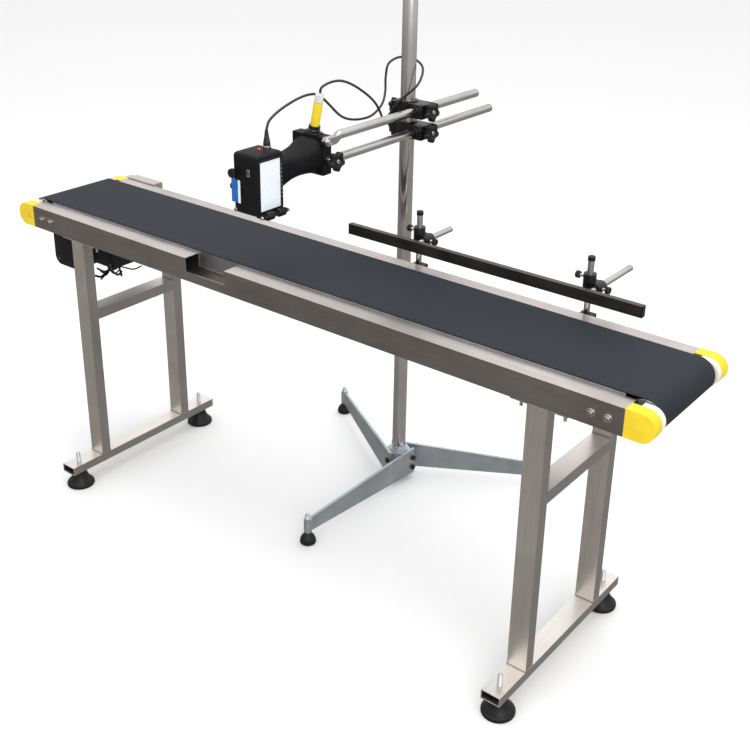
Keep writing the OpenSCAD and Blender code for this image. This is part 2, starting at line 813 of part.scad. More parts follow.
module ink_cartridge() {
    color("royalblue") place() union() {
        block([printer_x[0] - 3, printer_y[0] - 1, 807], [-75.5, printer_y[0] + 39, 853]);
        block([printer_x[0] - 5, printer_y[0] + 10, 824], [printer_x[0] - 2.9, printer_y[0] + 28, 838]);
    }
}

// Thumb knob that locks the cartridge
module cartridge_knob() {
    color("black") place() {
        bar_y([-90, printer_y[0] - 3, 866], 2, 10);
        bar_y([-90, printer_y[0] - 11, 866], 9, 8);
    }
}

// Two rubber-tyred wheels on one axle, under the screen side
module guide_wheels() {
    color("black") place() {
        bar_y([wheel_x, printer_y[0] + 0.5, wheel_z], 2, printer_d - 1);
        for (y = [-126, -95]) bar_y([wheel_x, y, wheel_z], 8, 18);
    }
}

module sensor_socket() {
    color("silver") place() {
        bar_z([socket_at[0], socket_at[1], printer_top - 4.8], 5, 5);
        bar_z([socket_at[0], socket_at[1], printer_top], 8, 6);
    }
}

// Tapered boot of the cable, plugged into the socket
module cable_boot() {
    color("black") place() translate([socket_at[0], socket_at[1], printer_top + 6]) rotate_extrude()
        polygon([[0, 0], [7, 0], [7, 5], [4.5, 18], [3, 30], [0, 30]]);
}

// Points of the cable route, smoothed by a curve through them
function curve_point(p, i, t) =
    let (last = len(p) - 1, a = p[max(i - 1, 0)], b = p[i], c = p[min(i + 1, last)],
        d = p[min(i + 2, last)])
    0.5 * (2 * b + (c - a) * t + (2 * a - 5 * b + 4 * c - d) * t * t
        + (3 * b - a - 3 * c + d) * t * t * t);
function smooth_route(p, steps) =
    [for (i = [0:len(p) - 2], k = [0:steps - 1]) curve_point(p, i, k / steps), p[len(p) - 1]];
function unit(v) = v / norm(v);
function ring_normals(p, i, n) =
    i >= len(p) ? [] :
    let (ahead = unit(p[min(i + 1, len(p) - 1)] - p[max(i - 1, 0)]), m = unit(n - (n * ahead) * ahead))
    concat([[m, cross(ahead, m)]], ring_normals(p, i + 1, m));

// Tube of round section along a route
module tube_along(p, r, sides) {
    frames = ring_normals(p, 0, [0, 1, 0]);
    points = [for (i = [0:len(p) - 1], k = [0:sides - 1])
        p[i] + r * (cos(360 * k / sides) * frames[i][0] + sin(360 * k / sides) * frames[i][1])];
    walls = [for (i = [0:len(p) - 2], k = [0:sides - 1])
        [i * sides + k, i * sides + (k + 1) % sides, (i + 1) * sides + (k + 1) % sides,
            (i + 1) * sides + k]];
    ends = [[for (k = [sides - 1:-1:0]) k], [for (k = [0:sides - 1]) (len(p) - 1) * sides + k]];
    polyhedron(points, concat([for (w = walls) [w[3], w[2], w[1], w[0]]],
        [for (e = ends) [for (k = [len(e) - 1:-1:0]) e[k]]]), convexity = 8);
}

module sensor_cable() {
    color("black") place() tube_along(smooth_route(cable_route, 2), cable_r, 8);
}

// Puts a part on the leaning axis of the sensor
module on_sensor() {
    translate(sensor_at) rotate([0, sensor_lean, 0]) children();
}

// Photoelectric sensor: round barrel with a nut at its foot
module sensor_body() {
    color("gold") place() on_sensor() {
        bar_z([0, 0, 0], 9, 60);
        cylinder(r = 13, h = 4, $fn = 6);
        bar_z([0, 0, 4], 11.5, 8);
    }
}

module sensor_cap() {
    color("white") place() on_sensor() {
        bar_z([0, 0, 60], 8.4, 16);
        bar_z([0, 0, 76], 4, 3);
    }
}

// Wedge that carries the sensor on top of the battery base
module sensor_bracket() {
    half = 15;
    rise = half * tan(sensor_lean);
    low_x = sensor_at[0] - half;
    high_x = sensor_at[0] + half;
    color("silver") place() upright(plate_y[0] + 0.5, 24) polygon([
        [low_x, plate_z[1]], [high_x, plate_z[1]],
        [high_x, sensor_at[2] - rise], [low_x, sensor_at[2] + rise]]);
}

near_rail();
far_rail();
slider_bed();
conveyor_belt();
end_caps();
roller_brackets();
frame_bolts();
left_leg();
right_leg();
foot_near_left();
foot_far_left();
foot_near_right();
foot_far_right();
drive_roller();
roller_pulley();
idler_roller();
gear_motor();
terminal_box();
motor_pulley();
drive_belt();
drive_cover();
guide_bar();
guide_bar_caps();
guide_rods();
guide_clamps();
guide_posts();
guide_brackets();
guide_screws();
stand_hub();
stand_legs();
stand_bolts();
stand_feet();
stand_pole();
upper_clamp();
lower_clamp();
pole_lock_knobs();
upper_clamp_knob();
lower_clamp_knob();
upper_arm();
lower_arm();
arm_bolt();
arm_knob();
battery_base();
printer_grip();
printer_front_cover();
printer_rear_cover();
display_screen();
power_button();
trigger();
ink_cartridge();
cartridge_knob();
guide_wheels();
sensor_socket();
cable_boot();
sensor_cable();
sensor_body();
sensor_cap();
sensor_bracket();
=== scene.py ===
import math
from itertools import product

import bmesh
import bpy
from mathutils import Matrix, Vector


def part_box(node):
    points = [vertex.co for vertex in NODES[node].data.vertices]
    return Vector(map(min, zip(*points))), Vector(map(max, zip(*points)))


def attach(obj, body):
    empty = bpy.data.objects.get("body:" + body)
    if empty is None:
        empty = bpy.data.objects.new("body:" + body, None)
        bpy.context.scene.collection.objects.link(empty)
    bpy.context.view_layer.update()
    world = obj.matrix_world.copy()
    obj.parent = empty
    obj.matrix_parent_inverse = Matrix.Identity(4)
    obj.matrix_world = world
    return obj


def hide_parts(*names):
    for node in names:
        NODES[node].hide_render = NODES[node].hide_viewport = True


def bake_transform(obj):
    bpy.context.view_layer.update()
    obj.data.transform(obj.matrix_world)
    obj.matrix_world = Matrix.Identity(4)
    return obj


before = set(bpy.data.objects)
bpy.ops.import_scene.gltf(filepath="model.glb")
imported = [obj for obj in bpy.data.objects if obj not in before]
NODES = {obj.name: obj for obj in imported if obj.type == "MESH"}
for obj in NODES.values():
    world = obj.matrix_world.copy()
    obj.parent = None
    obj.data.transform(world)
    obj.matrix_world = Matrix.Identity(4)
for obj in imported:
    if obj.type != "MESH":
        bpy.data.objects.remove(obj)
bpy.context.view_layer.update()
SCENE = bpy.context.scene
MM = 0.001


def add_object(name, data):
    """Puts a new object in the scene."""
    made = bpy.data.objects.new(name, data)
    SCENE.collection.objects.link(made)
    return made


def mesh_object(name, bm):
    """Puts the mesh in a bmesh in the scene."""
    mesh = bpy.data.meshes.new(name)
    bm.to_mesh(mesh)
    bm.free()
    return add_object(name, mesh)


# ---------------------------------------------------------------- camera

CAMERA_AT = (1.3808, -1.7659, 1.4923)
CAMERA_TURN = (38.0, 23.37, 0.91)      # azimuth, elevation and roll in degrees
CAMERA_LENS = 53.97
CAMERA_SHIFT_Y = -0.1007


def make_camera():
    """Camera at the three-quarter angle from the front right, above the belt."""
    azimuth, elevation, roll = (math.radians(a) for a in CAMERA_TURN)
    forward = Vector((-math.sin(azimuth) * math.cos(elevation),
                      math.cos(azimuth) * math.cos(elevation), -math.sin(elevation)))
    level = forward.cross(Vector((0, 0, 1))).normalized()
    above = level.cross(forward)
    right = level * math.cos(roll) + above * math.sin(roll)
    up = above * math.cos(roll) - level * math.sin(roll)
    data = bpy.data.cameras.new("camera")
    data.sensor_width = 36.0
    data.lens = CAMERA_LENS
    data.shift_y = CAMERA_SHIFT_Y
    data.clip_end = 60.0
    camera = add_object("camera", data)
    turn = Matrix((right, up, -forward)).transposed().to_4x4()
    camera.matrix_world = Matrix.Translation(CAMERA_AT) @ turn
    SCENE.camera = camera


# ---------------------------------------------------------------- mesh helpers

# Slot of each finish, where a piece names no other
SLOTS = {"arm": "arm_metal", "black": "black_plastic", "bolt": "zinc_screws", "cable": "cable_jacket",
         "clamp": "black_plastic", "gloss_black": "black_plastic", "grey": "white_plastic",
         "motor": "motor_paint", "printer": "printer_plastic", "rubber": "rubber",
         "sensor": "sensor_plastic", "weld": "brushed_steel", "zinc": "zinc_screws"}


def shade(mesh, sharp):
    """Shades a mesh smooth, but for edges above an angle in degrees."""
    mesh.shade_smooth()
    mesh.set_sharp_from_angle(angle=math.radians(sharp))


def piece_from(name, bm, body, finish_name, slot=None, sharp=32.0):
    """Turns a bmesh into a smooth-shaded piece that rides on a body."""
    bmesh.ops.recalc_face_normals(bm, faces=bm.faces)
    piece = mesh_object(name, bm)
    shade(piece.data, sharp)
    piece.data.materials.append(F[finish_name])
    if body:
        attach(piece, body)
    slot = slot or SLOTS[finish_name]
    return piece


def step(x=0, y=0, z=0):
    """A move given in millimetres."""
    return Vector((x, y, z)) * MM


def axis_turn(direction, at=(0, 0, 0)):
    """Matrix that takes local Z to a direction and the origin to a point."""
    turn = Vector((0, 0, 1)).rotation_difference(Vector(direction)).to_matrix().to_4x4()
    return Matrix.Translation(at) @ turn


def even_angles(count):
    """Even angles round a full turn."""
    return [2 * math.pi * k / count for k in range(count)]


def polar(place, radius, angle, height):
    """Point in millimetres round a placed local Z axis."""
    return place @ step(radius * math.cos(angle), radius * math.sin(angle), height)


def add_box(bm, low, high, radius=0.0, steps=3):
    """Adds a box between two corners, with rounded edges."""
    low, high = Vector(low), Vector(high)
    place = Matrix.Translation((low + high) / 2) @ Matrix.Diagonal((*(high - low), 1))
    made = bmesh.ops.create_cube(bm, size=1, matrix=place)
    if radius:
        edges = list({e for v in made["verts"] for e in v.link_edges})
        bmesh.ops.bevel(bm, geom=edges, offset=radius, segments=steps, profile=0.5, affect="EDGES")


def bridge_rings(bm, rings):
    """Skins neighbouring rings, which may be single points, and closes the two ends."""
    for a, b in zip(rings, rings[1:]):
        count = max(len(a), len(b))
        for k in range(count):
            corners = [a[k % len(a)], a[(k + 1) % len(a)], b[(k + 1) % len(b)], b[k % len(b)]]
            corners = list(dict.fromkeys(corners))
            if len(corners) > 2:
                bm.faces.new(corners)
    for ring in (rings[0], rings[-1]):
        if len(ring) > 2:
            bm.faces.new(ring)


def add_rings(bm, rings, closed=True):
    """Skins rings of points, and closes the ends or joins the last ring to the first."""
    made = [[bm.verts.new(p) for p in ring] for ring in rings]
    if closed:
        bridge_rings(bm, made)
        return
    count = len(made[0])
    for a, b in zip(made, made[1:] + made[:1]):
        for k in range(count):
            bm.faces.new((a[k], a[(k + 1) % count], b[(k + 1) % count], b[k]))


def add_lathe(bm, profile, place, steps=40):
    """Adds a solid turned round local Z from (radius, height) points in millimetres."""
    add_rings(bm, [[polar(place, radius, a, height) for a in (even_angles(steps) if radius else [0])]
                   for radius, height in profile])


def add_turned_ring(bm, profile, place):
    """Adds a ring turned round local Z from a closed profile in millimetres."""
    add_rings(bm, [[polar(place, radius, a, height) for a in even_angles(48)]
                   for radius, height in profile], closed=False)


def add_polar(bm, sections, place, count=120):
    """Adds a solid from (outline function or radius, scale, height) sections round local Z."""
    add_rings(bm, [[polar(place, scale * (outline(a) if callable(outline) else outline), a, height)
                    for a in even_angles(count)] for outline, scale, height in sections])


def add_tube(bm, points, radius, sides=16):
    """Adds a round tube along points in metres, with closed ends."""
    rings = []
    normal = None
    for i, point in enumerate(points):
        ahead = (points[min(i + 1, len(points) - 1)] - points[max(i - 1, 0)]).normalized()
        if normal is None:
            normal = Vector((0, 1, 0)) if abs(ahead.y) < 0.9 else Vector((1, 0, 0))
        normal = (normal - ahead * normal.dot(ahead)).normalized()
        across = ahead.cross(normal)
        rings.append([point + (normal * math.cos(a) + across * math.sin(a)) * radius
                      for a in even_angles(sides)])
    add_rings(bm, rings)


def add_bead(bm, line, radius):
    """Adds a weld bead: a thin round run with even ripples."""
    ahead = (line[-1] - line[0]).normalized()
    side = ahead.cross(Vector((0, 0, 1))).normalized()
    up = side.cross(ahead)
    rings = []
    for i, point in enumerate(line):
        r = radius * (0.82 + 0.18 * math.cos(i * 2.1))
        rings.append([point + (side * math.cos(a) + up * math.sin(a)) * r for a in even_angles(8)])
    add_rings(bm, rings)


def add_thread(bm, place, radius, length, pitch, depth):
    """Adds a screw thread round local Z as one helical surface, in millimetres."""
    steps, rows_a_turn = 24, 6
    rows = max(8, int(length / pitch * rows_a_turn))
    rings = []
    for row in range(rows + 1):
        height = length * row / rows
        ring = []
        for k, angle in enumerate(even_angles(steps)):
            wave = math.cos(2 * math.pi * (height / pitch - k / steps))
            fade = 0.0 if row in (0, rows) else 0.5 + 0.5 * wave
            ring.append(polar(place, radius - depth * (1 - fade), angle, height))
        rings.append(ring)
    add_rings(bm, rings)


def soften(node, width):
    """Rounds the sharp edges of a carried-over CAD node."""
    piece = NODES[node]
    weld = piece.modifiers.new("weld", "WELD")
    weld.merge_threshold = 0.00001
    flat = piece.modifiers.new("flat_faces", "DECIMATE")
    flat.decimate_type = "DISSOLVE"
    flat.angle_limit = math.radians(0.4)
    bevel = piece.modifiers.new("rounded_edges", "BEVEL")
    bevel.width = width
    bevel.segments = 3
    bevel.limit_method = "ANGLE"
    bevel.angle_limit = math.radians(35)
    bevel.harden_normals = True


def cut_away(piece, bm):
    """Cuts the shape in a bmesh out of a piece."""
    bmesh.ops.recalc_face_normals(bm, faces=bm.faces)
    cutter = mesh_object("cutter", bm)
    cut = piece.modifiers.new("cut", "BOOLEAN")
    cut.object = cutter
    cut.solver = "EXACT"
    bpy.context.view_layer.update()
    done = bpy.data.meshes.new_from_object(piece.evaluated_get(bpy.context.evaluated_depsgraph_get()))
    piece.modifiers.clear()
    piece.data = done
    bpy.data.objects.remove(cutter)


def cut_box(piece, low, high):
    """Cuts a box out of a piece."""
    bm = bmesh.new()
    add_box(bm, low, high)
    cut_away(piece, bm)


# ---------------------------------------------------------------- materials

def feed(tree, value, socket):
    """Links an output to a socket, or sets the socket to a constant."""
    if isinstance(value, bpy.types.NodeSocket):
        tree.links.new(value, socket)
    else:
        socket.default_value = value


def add_node(tree, kind, **values):
    """Adds a shader node, sets its properties and feeds its inputs by name."""
    node = tree.nodes.new(kind)
    for key, value in values.items():
        if hasattr(node, key):
            setattr(node, key, value)
        else:
            feed(tree, value, node.inputs[key.replace("_", " ")])
    return node


def own_coords(tree, stretch=(1, 1, 1)):
    """The part's own coordinates in metres, scaled along each axis."""
    coords = add_node(tree, "ShaderNodeTexCoord").outputs["Object"]
    return add_node(tree, "ShaderNodeMapping", Vector=coords, Scale=stretch).outputs["Vector"]


def coord_parts(tree, kind="Object"):
    """X, Y and Z of a kind of coordinates."""
    coords = add_node(tree, "ShaderNodeTexCoord").outputs[kind]
    return add_node(tree, "ShaderNodeSeparateXYZ", Vector=coords).outputs


def noise(tree, vector, scale, detail=4.0):
    """Noise factor at a number of features a metre."""
    return add_node(tree, "ShaderNodeTexNoise", Vector=vector, Scale=scale, Detail=detail,
                    Roughness=0.55).outputs["Fac"]


def ramp(tree, factor, stops):
    """Colour ramp through (position, colour) stops."""
    node = add_node(tree, "ShaderNodeValToRGB", Fac=factor)
    elements = node.color_ramp.elements
    while len(elements) < len(stops):
        elements.new(0.5)
    for element, (position, colour) in zip(elements, stops):
        element.position = position
        element.color = (*colour, 1)
    return node.outputs["Color"]


def map_range(tree, value, source, target, **settings):
    """A factor carried from one range of values to another."""
    node = add_node(tree, "ShaderNodeMapRange", Value=value, From_Min=source[0], From_Max=source[1],
                    To_Min=target[0], To_Max=target[1], **settings)
    return node.outputs["Result"]


def math_value(tree, operation, value, limit=0.0):
    """A value through a math node, with a constant beside it."""
    node = add_node(tree, "ShaderNodeMath", operation=operation, Value=value)
    node.inputs[1].default_value = limit
    return node.outputs[0]


def blend(tree, a, b, share, kind="FLOAT"):
    """Weighted sum of two factors or two colours."""
    node = add_node(tree, "ShaderNodeMix", data_type=kind)
    first, result = (2, 0) if kind == "FLOAT" else (6, 2)
    for index, value in ((0, share), (first, a), (first + 1, b)):
        feed(tree, value, node.inputs[index])
    return node.outputs[result]


def scaled_colour(tree, colour, share):
    """A colour times a factor."""
    return add_node(tree, "ShaderNodeVectorMath", operation="SCALE", Vector=colour,
                    Scale=share).outputs["Vector"]


def new_finish(name, metallic=0.0, specular=0.5, coat=0.0, coat_rough=0.1):
    """An empty principled material with its constant settings."""
    made = bpy.data.materials.new(name)
    made.use_nodes = True
    shader = made.node_tree.nodes["Principled BSDF"]
    shader.inputs["Metallic"].default_value = metallic
    shader.inputs["Specular IOR Level"].default_value = specular
    shader.inputs["Coat Weight"].default_value = coat
    shader.inputs["Coat Roughness"].default_value = coat_rough
    return made, made.node_tree, shader


def set_surface(tree, shader, colour, factor, rough, height=None, strength=0.0, depth=0.0):
    """Links a colour, a roughness between two values, and a bump of a depth in metres."""
    tree.links.new(colour, shader.inputs["Base Color"])
    tree.links.new(map_range(tree, factor, (0.3, 0.7), rough), shader.inputs["Roughness"])
    if height is not None:
        bump = add_node(tree, "ShaderNodeBump", Strength=strength, Distance=depth, Height=height)
        tree.links.new(bump.outputs["Normal"], shader.inputs["Normal"])


def paint_hollow_shade(tree, colour):
    """Colour with painted shade inside tubes and in tight corners, darkened by ambient occlusion."""
    hollow = add_node(tree, "ShaderNodeAmbientOcclusion", samples=8, Distance=0.03)
    return scaled_colour(tree, colour, map_range(tree, hollow.outputs["AO"], (0.12, 0.5), (0.1, 1)))


def paint_side_shade(tree, colour, axis, low):
    """Colour with painted shade on the faces that look along one axis, standing in for the dimmer light and
    reflection they catch.
    """
    along = math_value(tree, "ABSOLUTE", coord_parts(tree, "Normal")[axis])
    return scaled_colour(tree, colour, map_range(tree, along, (0, 1), (1, low)))


def finish(name, dark, light, rough, metallic=0.0, patch=14.0, grain=700.0, stretch=(1, 1, 1),
           bump=0.2, depth=0.0001, grain_share=0.5, sides=None, **constants):
    """A surface with slow patches and fine grain in colour, roughness and relief."""
    made, tree, shader = new_finish(name, metallic=metallic, **constants)
    patches = noise(tree, own_coords(tree), patch, detail=3)
    grains = noise(tree, own_coords(tree, stretch), grain, detail=3)
    mixed = blend(tree, patches, grains, grain_share)
    colour = ramp(tree, mixed, [(0.32, dark), (0.68, light)])
    # Painted shade: darker in hollows and on the faces that look along the given axis
    if sides:
        colour = paint_side_shade(tree, paint_hollow_shade(tree, colour), *sides)
    set_surface(tree, shader, colour, mixed, rough, grains, bump, depth)
    return made


def leg_steel():
    """Brushed tube, with the grain along the uprights and along the bars."""
    made, tree, shader = new_finish("brushed_steel_legs", metallic=1.0)
    along_z = noise(tree, own_coords(tree, (1, 1, 0.01)), 900, detail=3)
    along_y = noise(tree, own_coords(tree, (1, 0.01, 1)), 900, detail=3)
    in_foot_bar = math_value(tree, "LESS_THAN", coord_parts(tree)["Z"], 0.0625)
    grains = blend(tree, along_z, along_y, in_foot_bar)
    patches = noise(tree, own_coords(tree), 9, detail=3)
    mixed = blend(tree, patches, grains, 0.55)
    colour = ramp(tree, mixed, [(0.3, (0.72, 0.68, 0.635)), (0.7, (0.95, 0.91, 0.86))])
    # Painted shade in the hollows and on the faces that look along X
    colour = paint_side_shade(tree, paint_hollow_shade(tree, colour), "X", 0.56)
    set_surface(tree, shader, colour, mixed, (0.28, 0.46), grains, 0.25, 0.00008)
    return made


def screen_finish():
    """Pale display with faint rows of plain blocks."""
    made, tree, shader = new_finish("screen_glass", specular=0.6, coat=1.0, coat_rough=0.05)
    parts = coord_parts(tree)
    flat = add_node(tree, "ShaderNodeCombineXYZ", X=parts["Y"], Y=parts["Z"])
    bricks = add_node(tree, "ShaderNodeTexBrick", Vector=flat.outputs["Vector"], Scale=70.0, offset=0.5,
                      Color1=(0.72, 0.77, 0.82, 1), Color2=(0.62, 0.69, 0.77, 1),
                      Mortar=(0.78, 0.82, 0.86, 1), Mortar_Size=0.06).outputs["Color"]
    tree.links.new(bricks, shader.inputs["Emission Color"])
    shader.inputs["Emission Strength"].default_value = 0.12
    set_surface(tree, shader, bricks, noise(tree, own_coords(tree), 60), (0.12, 0.25))
    return made


def cartridge_finish():
    """Black shell with a blue label, white along the edge next to the housing."""
    made, tree, shader = new_finish("cartridge_plastic")
    parts = coord_parts(tree)
    in_stripe = math_value(tree, "GREATER_THAN", parts["X"], -0.0815)
    behind_label = math_value(tree, "GREATER_THAN", parts["Y"], -0.3212)
    cloud = noise(tree, own_coords(tree), 90)
    blue = ramp(tree, cloud, [(0.3, (0.0, 0.085, 0.34)), (0.7, (0.0, 0.14, 0.48))])
    white = ramp(tree, cloud, [(0.3, (0.66, 0.67, 0.68)), (0.7, (0.76, 0.77, 0.78))])
    black = ramp(tree, cloud, [(0.3, (0.005, 0.005, 0.006)), (0.7, (0.012, 0.012, 0.013))])
    label = blend(tree, blue, white, in_stripe, "RGBA")
    colour = blend(tree, label, black, behind_label, "RGBA")
    set_surface(tree, shader, colour, cloud, (0.28, 0.42))
    return made


def clear_finish():
    """Clear plastic with a faint green cast."""
    made, tree, shader = new_finish("clear_plastic", specular=0.6)
    cloud = noise(tree, own_coords(tree), 150)
    colour = ramp(tree, cloud, [(0.3, (0.78, 0.82, 0.80)), (0.7, (0.90, 0.93, 0.91))])
    shader.inputs["Transmission Weight"].default_value = 0.45
    set_surface(tree, shader, colour, cloud, (0.15, 0.3))
    return made


def make_finishes():
    """Every finish of the machine, by name."""
    streak_x, streak_y, streak_z = (0.01, 1, 1), (1, 0.01, 1), (1, 1, 0.01)
    return {
        # The brushed rails carry painted shade on their faces along Y and in their hollows
        "brushed": finish("brushed_steel", (0.47, 0.425, 0.40), (0.70, 0.655, 0.625), (0.26, 0.44), 1.0,
                          patch=6, grain=900, stretch=streak_x, bump=0.25, depth=0.00008,
                          sides=("Y", 0.66)),
        "legs": leg_steel(),
        "bed": finish("bed_steel", (0.30, 0.30, 0.31), (0.45, 0.45, 0.46), (0.4, 0.6), 1.0),
        "belt": finish("belt_rubber", (0.0095, 0.0118, 0.0165), (0.021, 0.0252, 0.0335), (0.55, 0.78),
                       patch=5, grain=1400, bump=0.5, depth=0.0003, specular=0.22),
        "yellow": finish("yellow_plastic", (0.70, 0.495, 0.002), (0.82, 0.61, 0.007), (0.34, 0.5),
                         patch=30, grain=1800, bump=0.12, grain_share=0.35),
        "white": finish("white_plastic", (0.66, 0.64, 0.53), (0.78, 0.765, 0.655), (0.4, 0.55)),
        "zinc": finish("zinc_screws", (0.50, 0.50, 0.50), (0.74, 0.74, 0.73), (0.22, 0.4), 1.0, grain=2500),
        "black": finish("black_plastic", (0.004, 0.004, 0.0045), (0.012, 0.012, 0.013), (0.34, 0.52),
                        patch=40, grain=2200, bump=0.3, specular=0.3),
        "bolt": finish("bolt_steel", (0.30, 0.285, 0.26), (0.52, 0.50, 0.47), (0.16, 0.3), 1.0, grain=2500),
        "gloss_black": finish("gloss_black", (0.003, 0.003, 0.006), (0.008, 0.008, 0.014), (0.10, 0.2),
                              patch=40, grain=2200, bump=0.05, specular=0.4),
        "grey": finish("grey_keys", (0.22, 0.22, 0.25), (0.36, 0.36, 0.40), (0.35, 0.5)),
        "weld": finish("weld_metal", (0.24, 0.22, 0.21), (0.46, 0.43, 0.41), (0.3, 0.5), 1.0, grain=1200),
        "roller": finish("roller_steel", (0.42, 0.42, 0.42), (0.60, 0.60, 0.60), (0.25, 0.4), 1.0,
                         stretch=streak_y),
        "pulley": finish("pulley_metal", (0.55, 0.55, 0.56), (0.70, 0.70, 0.71), (0.3, 0.45), 1.0),
        "motor": finish("motor_paint", (0.003, 0.003, 0.0035), (0.010, 0.010, 0.011), (0.32, 0.55),
                        patch=30, grain=1200, bump=0.5, depth=0.0002, specular=0.3),
        "rubber": finish("rubber", (0.004, 0.004, 0.004), (0.011, 0.0105, 0.0105), (0.32, 0.55),
                         patch=60, grain=1500, bump=0.25, specular=0.32),
        "guide": finish("guide_metal", (0.040, 0.033, 0.030), (0.115, 0.098, 0.090), (0.22, 0.38), 0.8,
                        patch=12, grain=1200, stretch=streak_x),
        "polished": finish("polished_steel", (0.55, 0.53, 0.52), (0.76, 0.74, 0.72), (0.08, 0.2), 1.0,
                           patch=10, grain=900, stretch=streak_z, bump=0.06),
        "plate": finish("zinc_plate", (0.36, 0.405, 0.44), (0.56, 0.61, 0.645), (0.3, 0.5), 0.85,
                        patch=22, grain=500),
        "arm": finish("arm_metal", (0.48, 0.47, 0.465), (0.66, 0.65, 0.645), (0.14, 0.28), 1.0,
                      grain=1000, stretch=streak_y, bump=0.08),
        "printer": finish("printer_plastic", (0.0028, 0.0028, 0.0036), (0.0085, 0.0085, 0.010),
                          (0.42, 0.62), patch=45, grain=2600, bump=0.45, depth=0.00012, specular=0.15),
        "clamp": finish("clamp_metal", (0.003, 0.0034, 0.004), (0.011, 0.0115, 0.0125), (0.22, 0.42),
                        patch=40, grain=900, bump=0.4, depth=0.0002, specular=0.35),
        "screen": screen_finish(),
        "red": finish("red_plastic", (0.50, 0.018, 0.012), (0.68, 0.03, 0.02), (0.25, 0.4)),
        "cartridge": cartridge_finish(),
        "cable": finish("cable_jacket", (0.008, 0.008, 0.008), (0.018, 0.018, 0.018), (0.35, 0.5),
                        patch=80, grain=1500),
        "sensor": finish("sensor_plastic", (0.70, 0.50, 0.010), (0.82, 0.61, 0.018), (0.25, 0.38),
                         patch=60, grain=1800),
        "bracket": finish("bracket_metal", (0.03, 0.03, 0.032), (0.07, 0.07, 0.075), (0.35, 0.5), 0.6),
        "clear": clear_finish(),
    }


make_camera()
F = make_finishes()

# Finish and edge radius in millimetres (0 leaves the edges as they are) of each CAD node that shows
CARRIED = {
    "brushed": {"near_rail": 1.8, "far_rail": 1.8, "drive_cover": 1.5}, "bed": {"slider_bed": 0},
    "belt": {"conveyor_belt": 0}, "yellow": {"end_caps": 3.0}, "white": {"roller_brackets": 0.8},
    "zinc": {"arm_bolt": 0.5, "sensor_socket": 0.4}, "legs": {"left_leg": 2.0, "right_leg": 2.0},
    "rubber": {"drive_belt": 0}, "roller": {"drive_roller": 0.6, "idler_roller": 0.6},
    "pulley": {"roller_pulley": 0, "motor_pulley": 0}, "motor": {"gear_motor": 2.0, "terminal_box": 3.0},
    "guide": {"guide_bar": 1.0},
    "black": {"guide_bar_caps": 0.6, "guide_brackets": 1.0, "stand_bolts": 0.8, "trigger": 1.0},
    "arm": {"guide_rods": 0.6, "guide_posts": 0.6},
    "clamp": {"guide_clamps": 1.0, "upper_clamp": 2.5, "lower_clamp": 2.5},
    "plate": {"stand_hub": 1.0, "stand_legs": 0.6}, "polished": {"stand_pole": 0.6},
    "printer": {"battery_base": 1.5}, "screen": {"display_screen": 0}, "red": {"power_button": 0.6},
    "cartridge": {"ink_cartridge": 0.8}, "cable": {"cable_boot": 0}, "clear": {"sensor_cap": 0.6},
    "bracket": {"sensor_bracket": 0.8},
}
for finish_name, carried in CARRIED.items():
    for node, radius in carried.items():
        NODES[node].data.materials.clear()
        NODES[node].data.materials.append(F[finish_name])
        if radius:
            soften(node, radius * MM)


# ---------------------------------------------------------------- cable

CABLE_RADIUS = 0.0025
CABLE_ROUTE = [tuple(v / 1000 for v in point) for point in (
    (-17, -157.5, 1001), (-14, -155.5, 1012), (-12, -130.5, 1018), (-12, -98.5, 1015), (-14, -60.5, 1000),
    (-18, -14.5, 974), (-26, 24.5, 948), (-38, 57.5, 920), (-52, 84.5, 898), (-60, 101.5, 890),
    (-52, 107.5, 904), (-38, 107.5, 924), (-18, 108.5, 944), (0, 111.5, 960), (10, 121.5, 974),
    (10, 135.5, 990), (2, 149.5, 1002), (-12, 159.5, 1010), (-30, 162.5, 1016), (-48, 153.5, 1020),
    (-60, 137.5, 1018), (-68, 120.5, 1006), (-70, 115.5, 978), (-67, 111.5, 952), (-61, 96.5, 932),
    (-53, 69.5, 921), (-44, 27.5, 915), (-40, -25.5, 920), (-37, -70.5, 936), (-35, -114.5, 971),
    (-35, -140.5, 991), (-37, -164.5, 996), (-41, -190.5, 993), (-47, -216.5, 984), (-54, -238.5, 972),
    (-59, -255.5, 958), (-60, -262.5, 942))]


def smooth_route(points, steps):
    """Points on a Catmull-Rom curve through a route."""
    last = len(points) - 1
    found = []
    for i in range(last):
        a, b, c, d = (Vector(points[min(max(k, 0), last)]) for k in (i - 1, i, i + 1, i + 2))
        for t in (k / steps for k in range(steps)):
            found.append(0.5 * (2 * b + (c - a) * t + (2 * a - 5 * b + 4 * c - d) * t ** 2
                                + (3 * b - a - 3 * c + d) * t ** 3))
    return found + [Vector(points[last])]


def make_cable():
    """Sensor cable as one fixed tube along a smooth route, attached to no body."""
    line = smooth_route(CABLE_ROUTE, 6)
    bm = bmesh.new()
    add_tube(bm, line, CABLE_RADIUS)
    cable = piece_from("sensor_cable_jacket", bm, None, "cable")
    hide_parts("sensor_cable")
    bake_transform(cable)


make_cable()


# ---------------------------------------------------------------- detailed pieces

MIDDLE_Y = (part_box("near_rail")[0].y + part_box("far_rail")[1].y) / 2

# Places in millimetres, for spot()
RAIL_FACE_Y = 140
LEG_X, UPRIGHT_Y = 594, 127.5                   # middles of the leg frames and their uprights
POST_X, POST_Y = (134, 519), 155                # guide posts
MOTOR_X, MOTOR_Z = -695, 550
GLAND_X, GLAND_Y = -606, (-48, -20)
POLE_Y = 320
LOWER_ARM_Z, UPPER_CLAMP_Z = 873, 918
UPPER_EYE, LOWER_EYE = (16, 911), (26, 873)     # Y and Z of the arm eyes
STAND_FOOT_REACH = 347
STAND_FOOT_ANGLES = (-88, 32, 152)


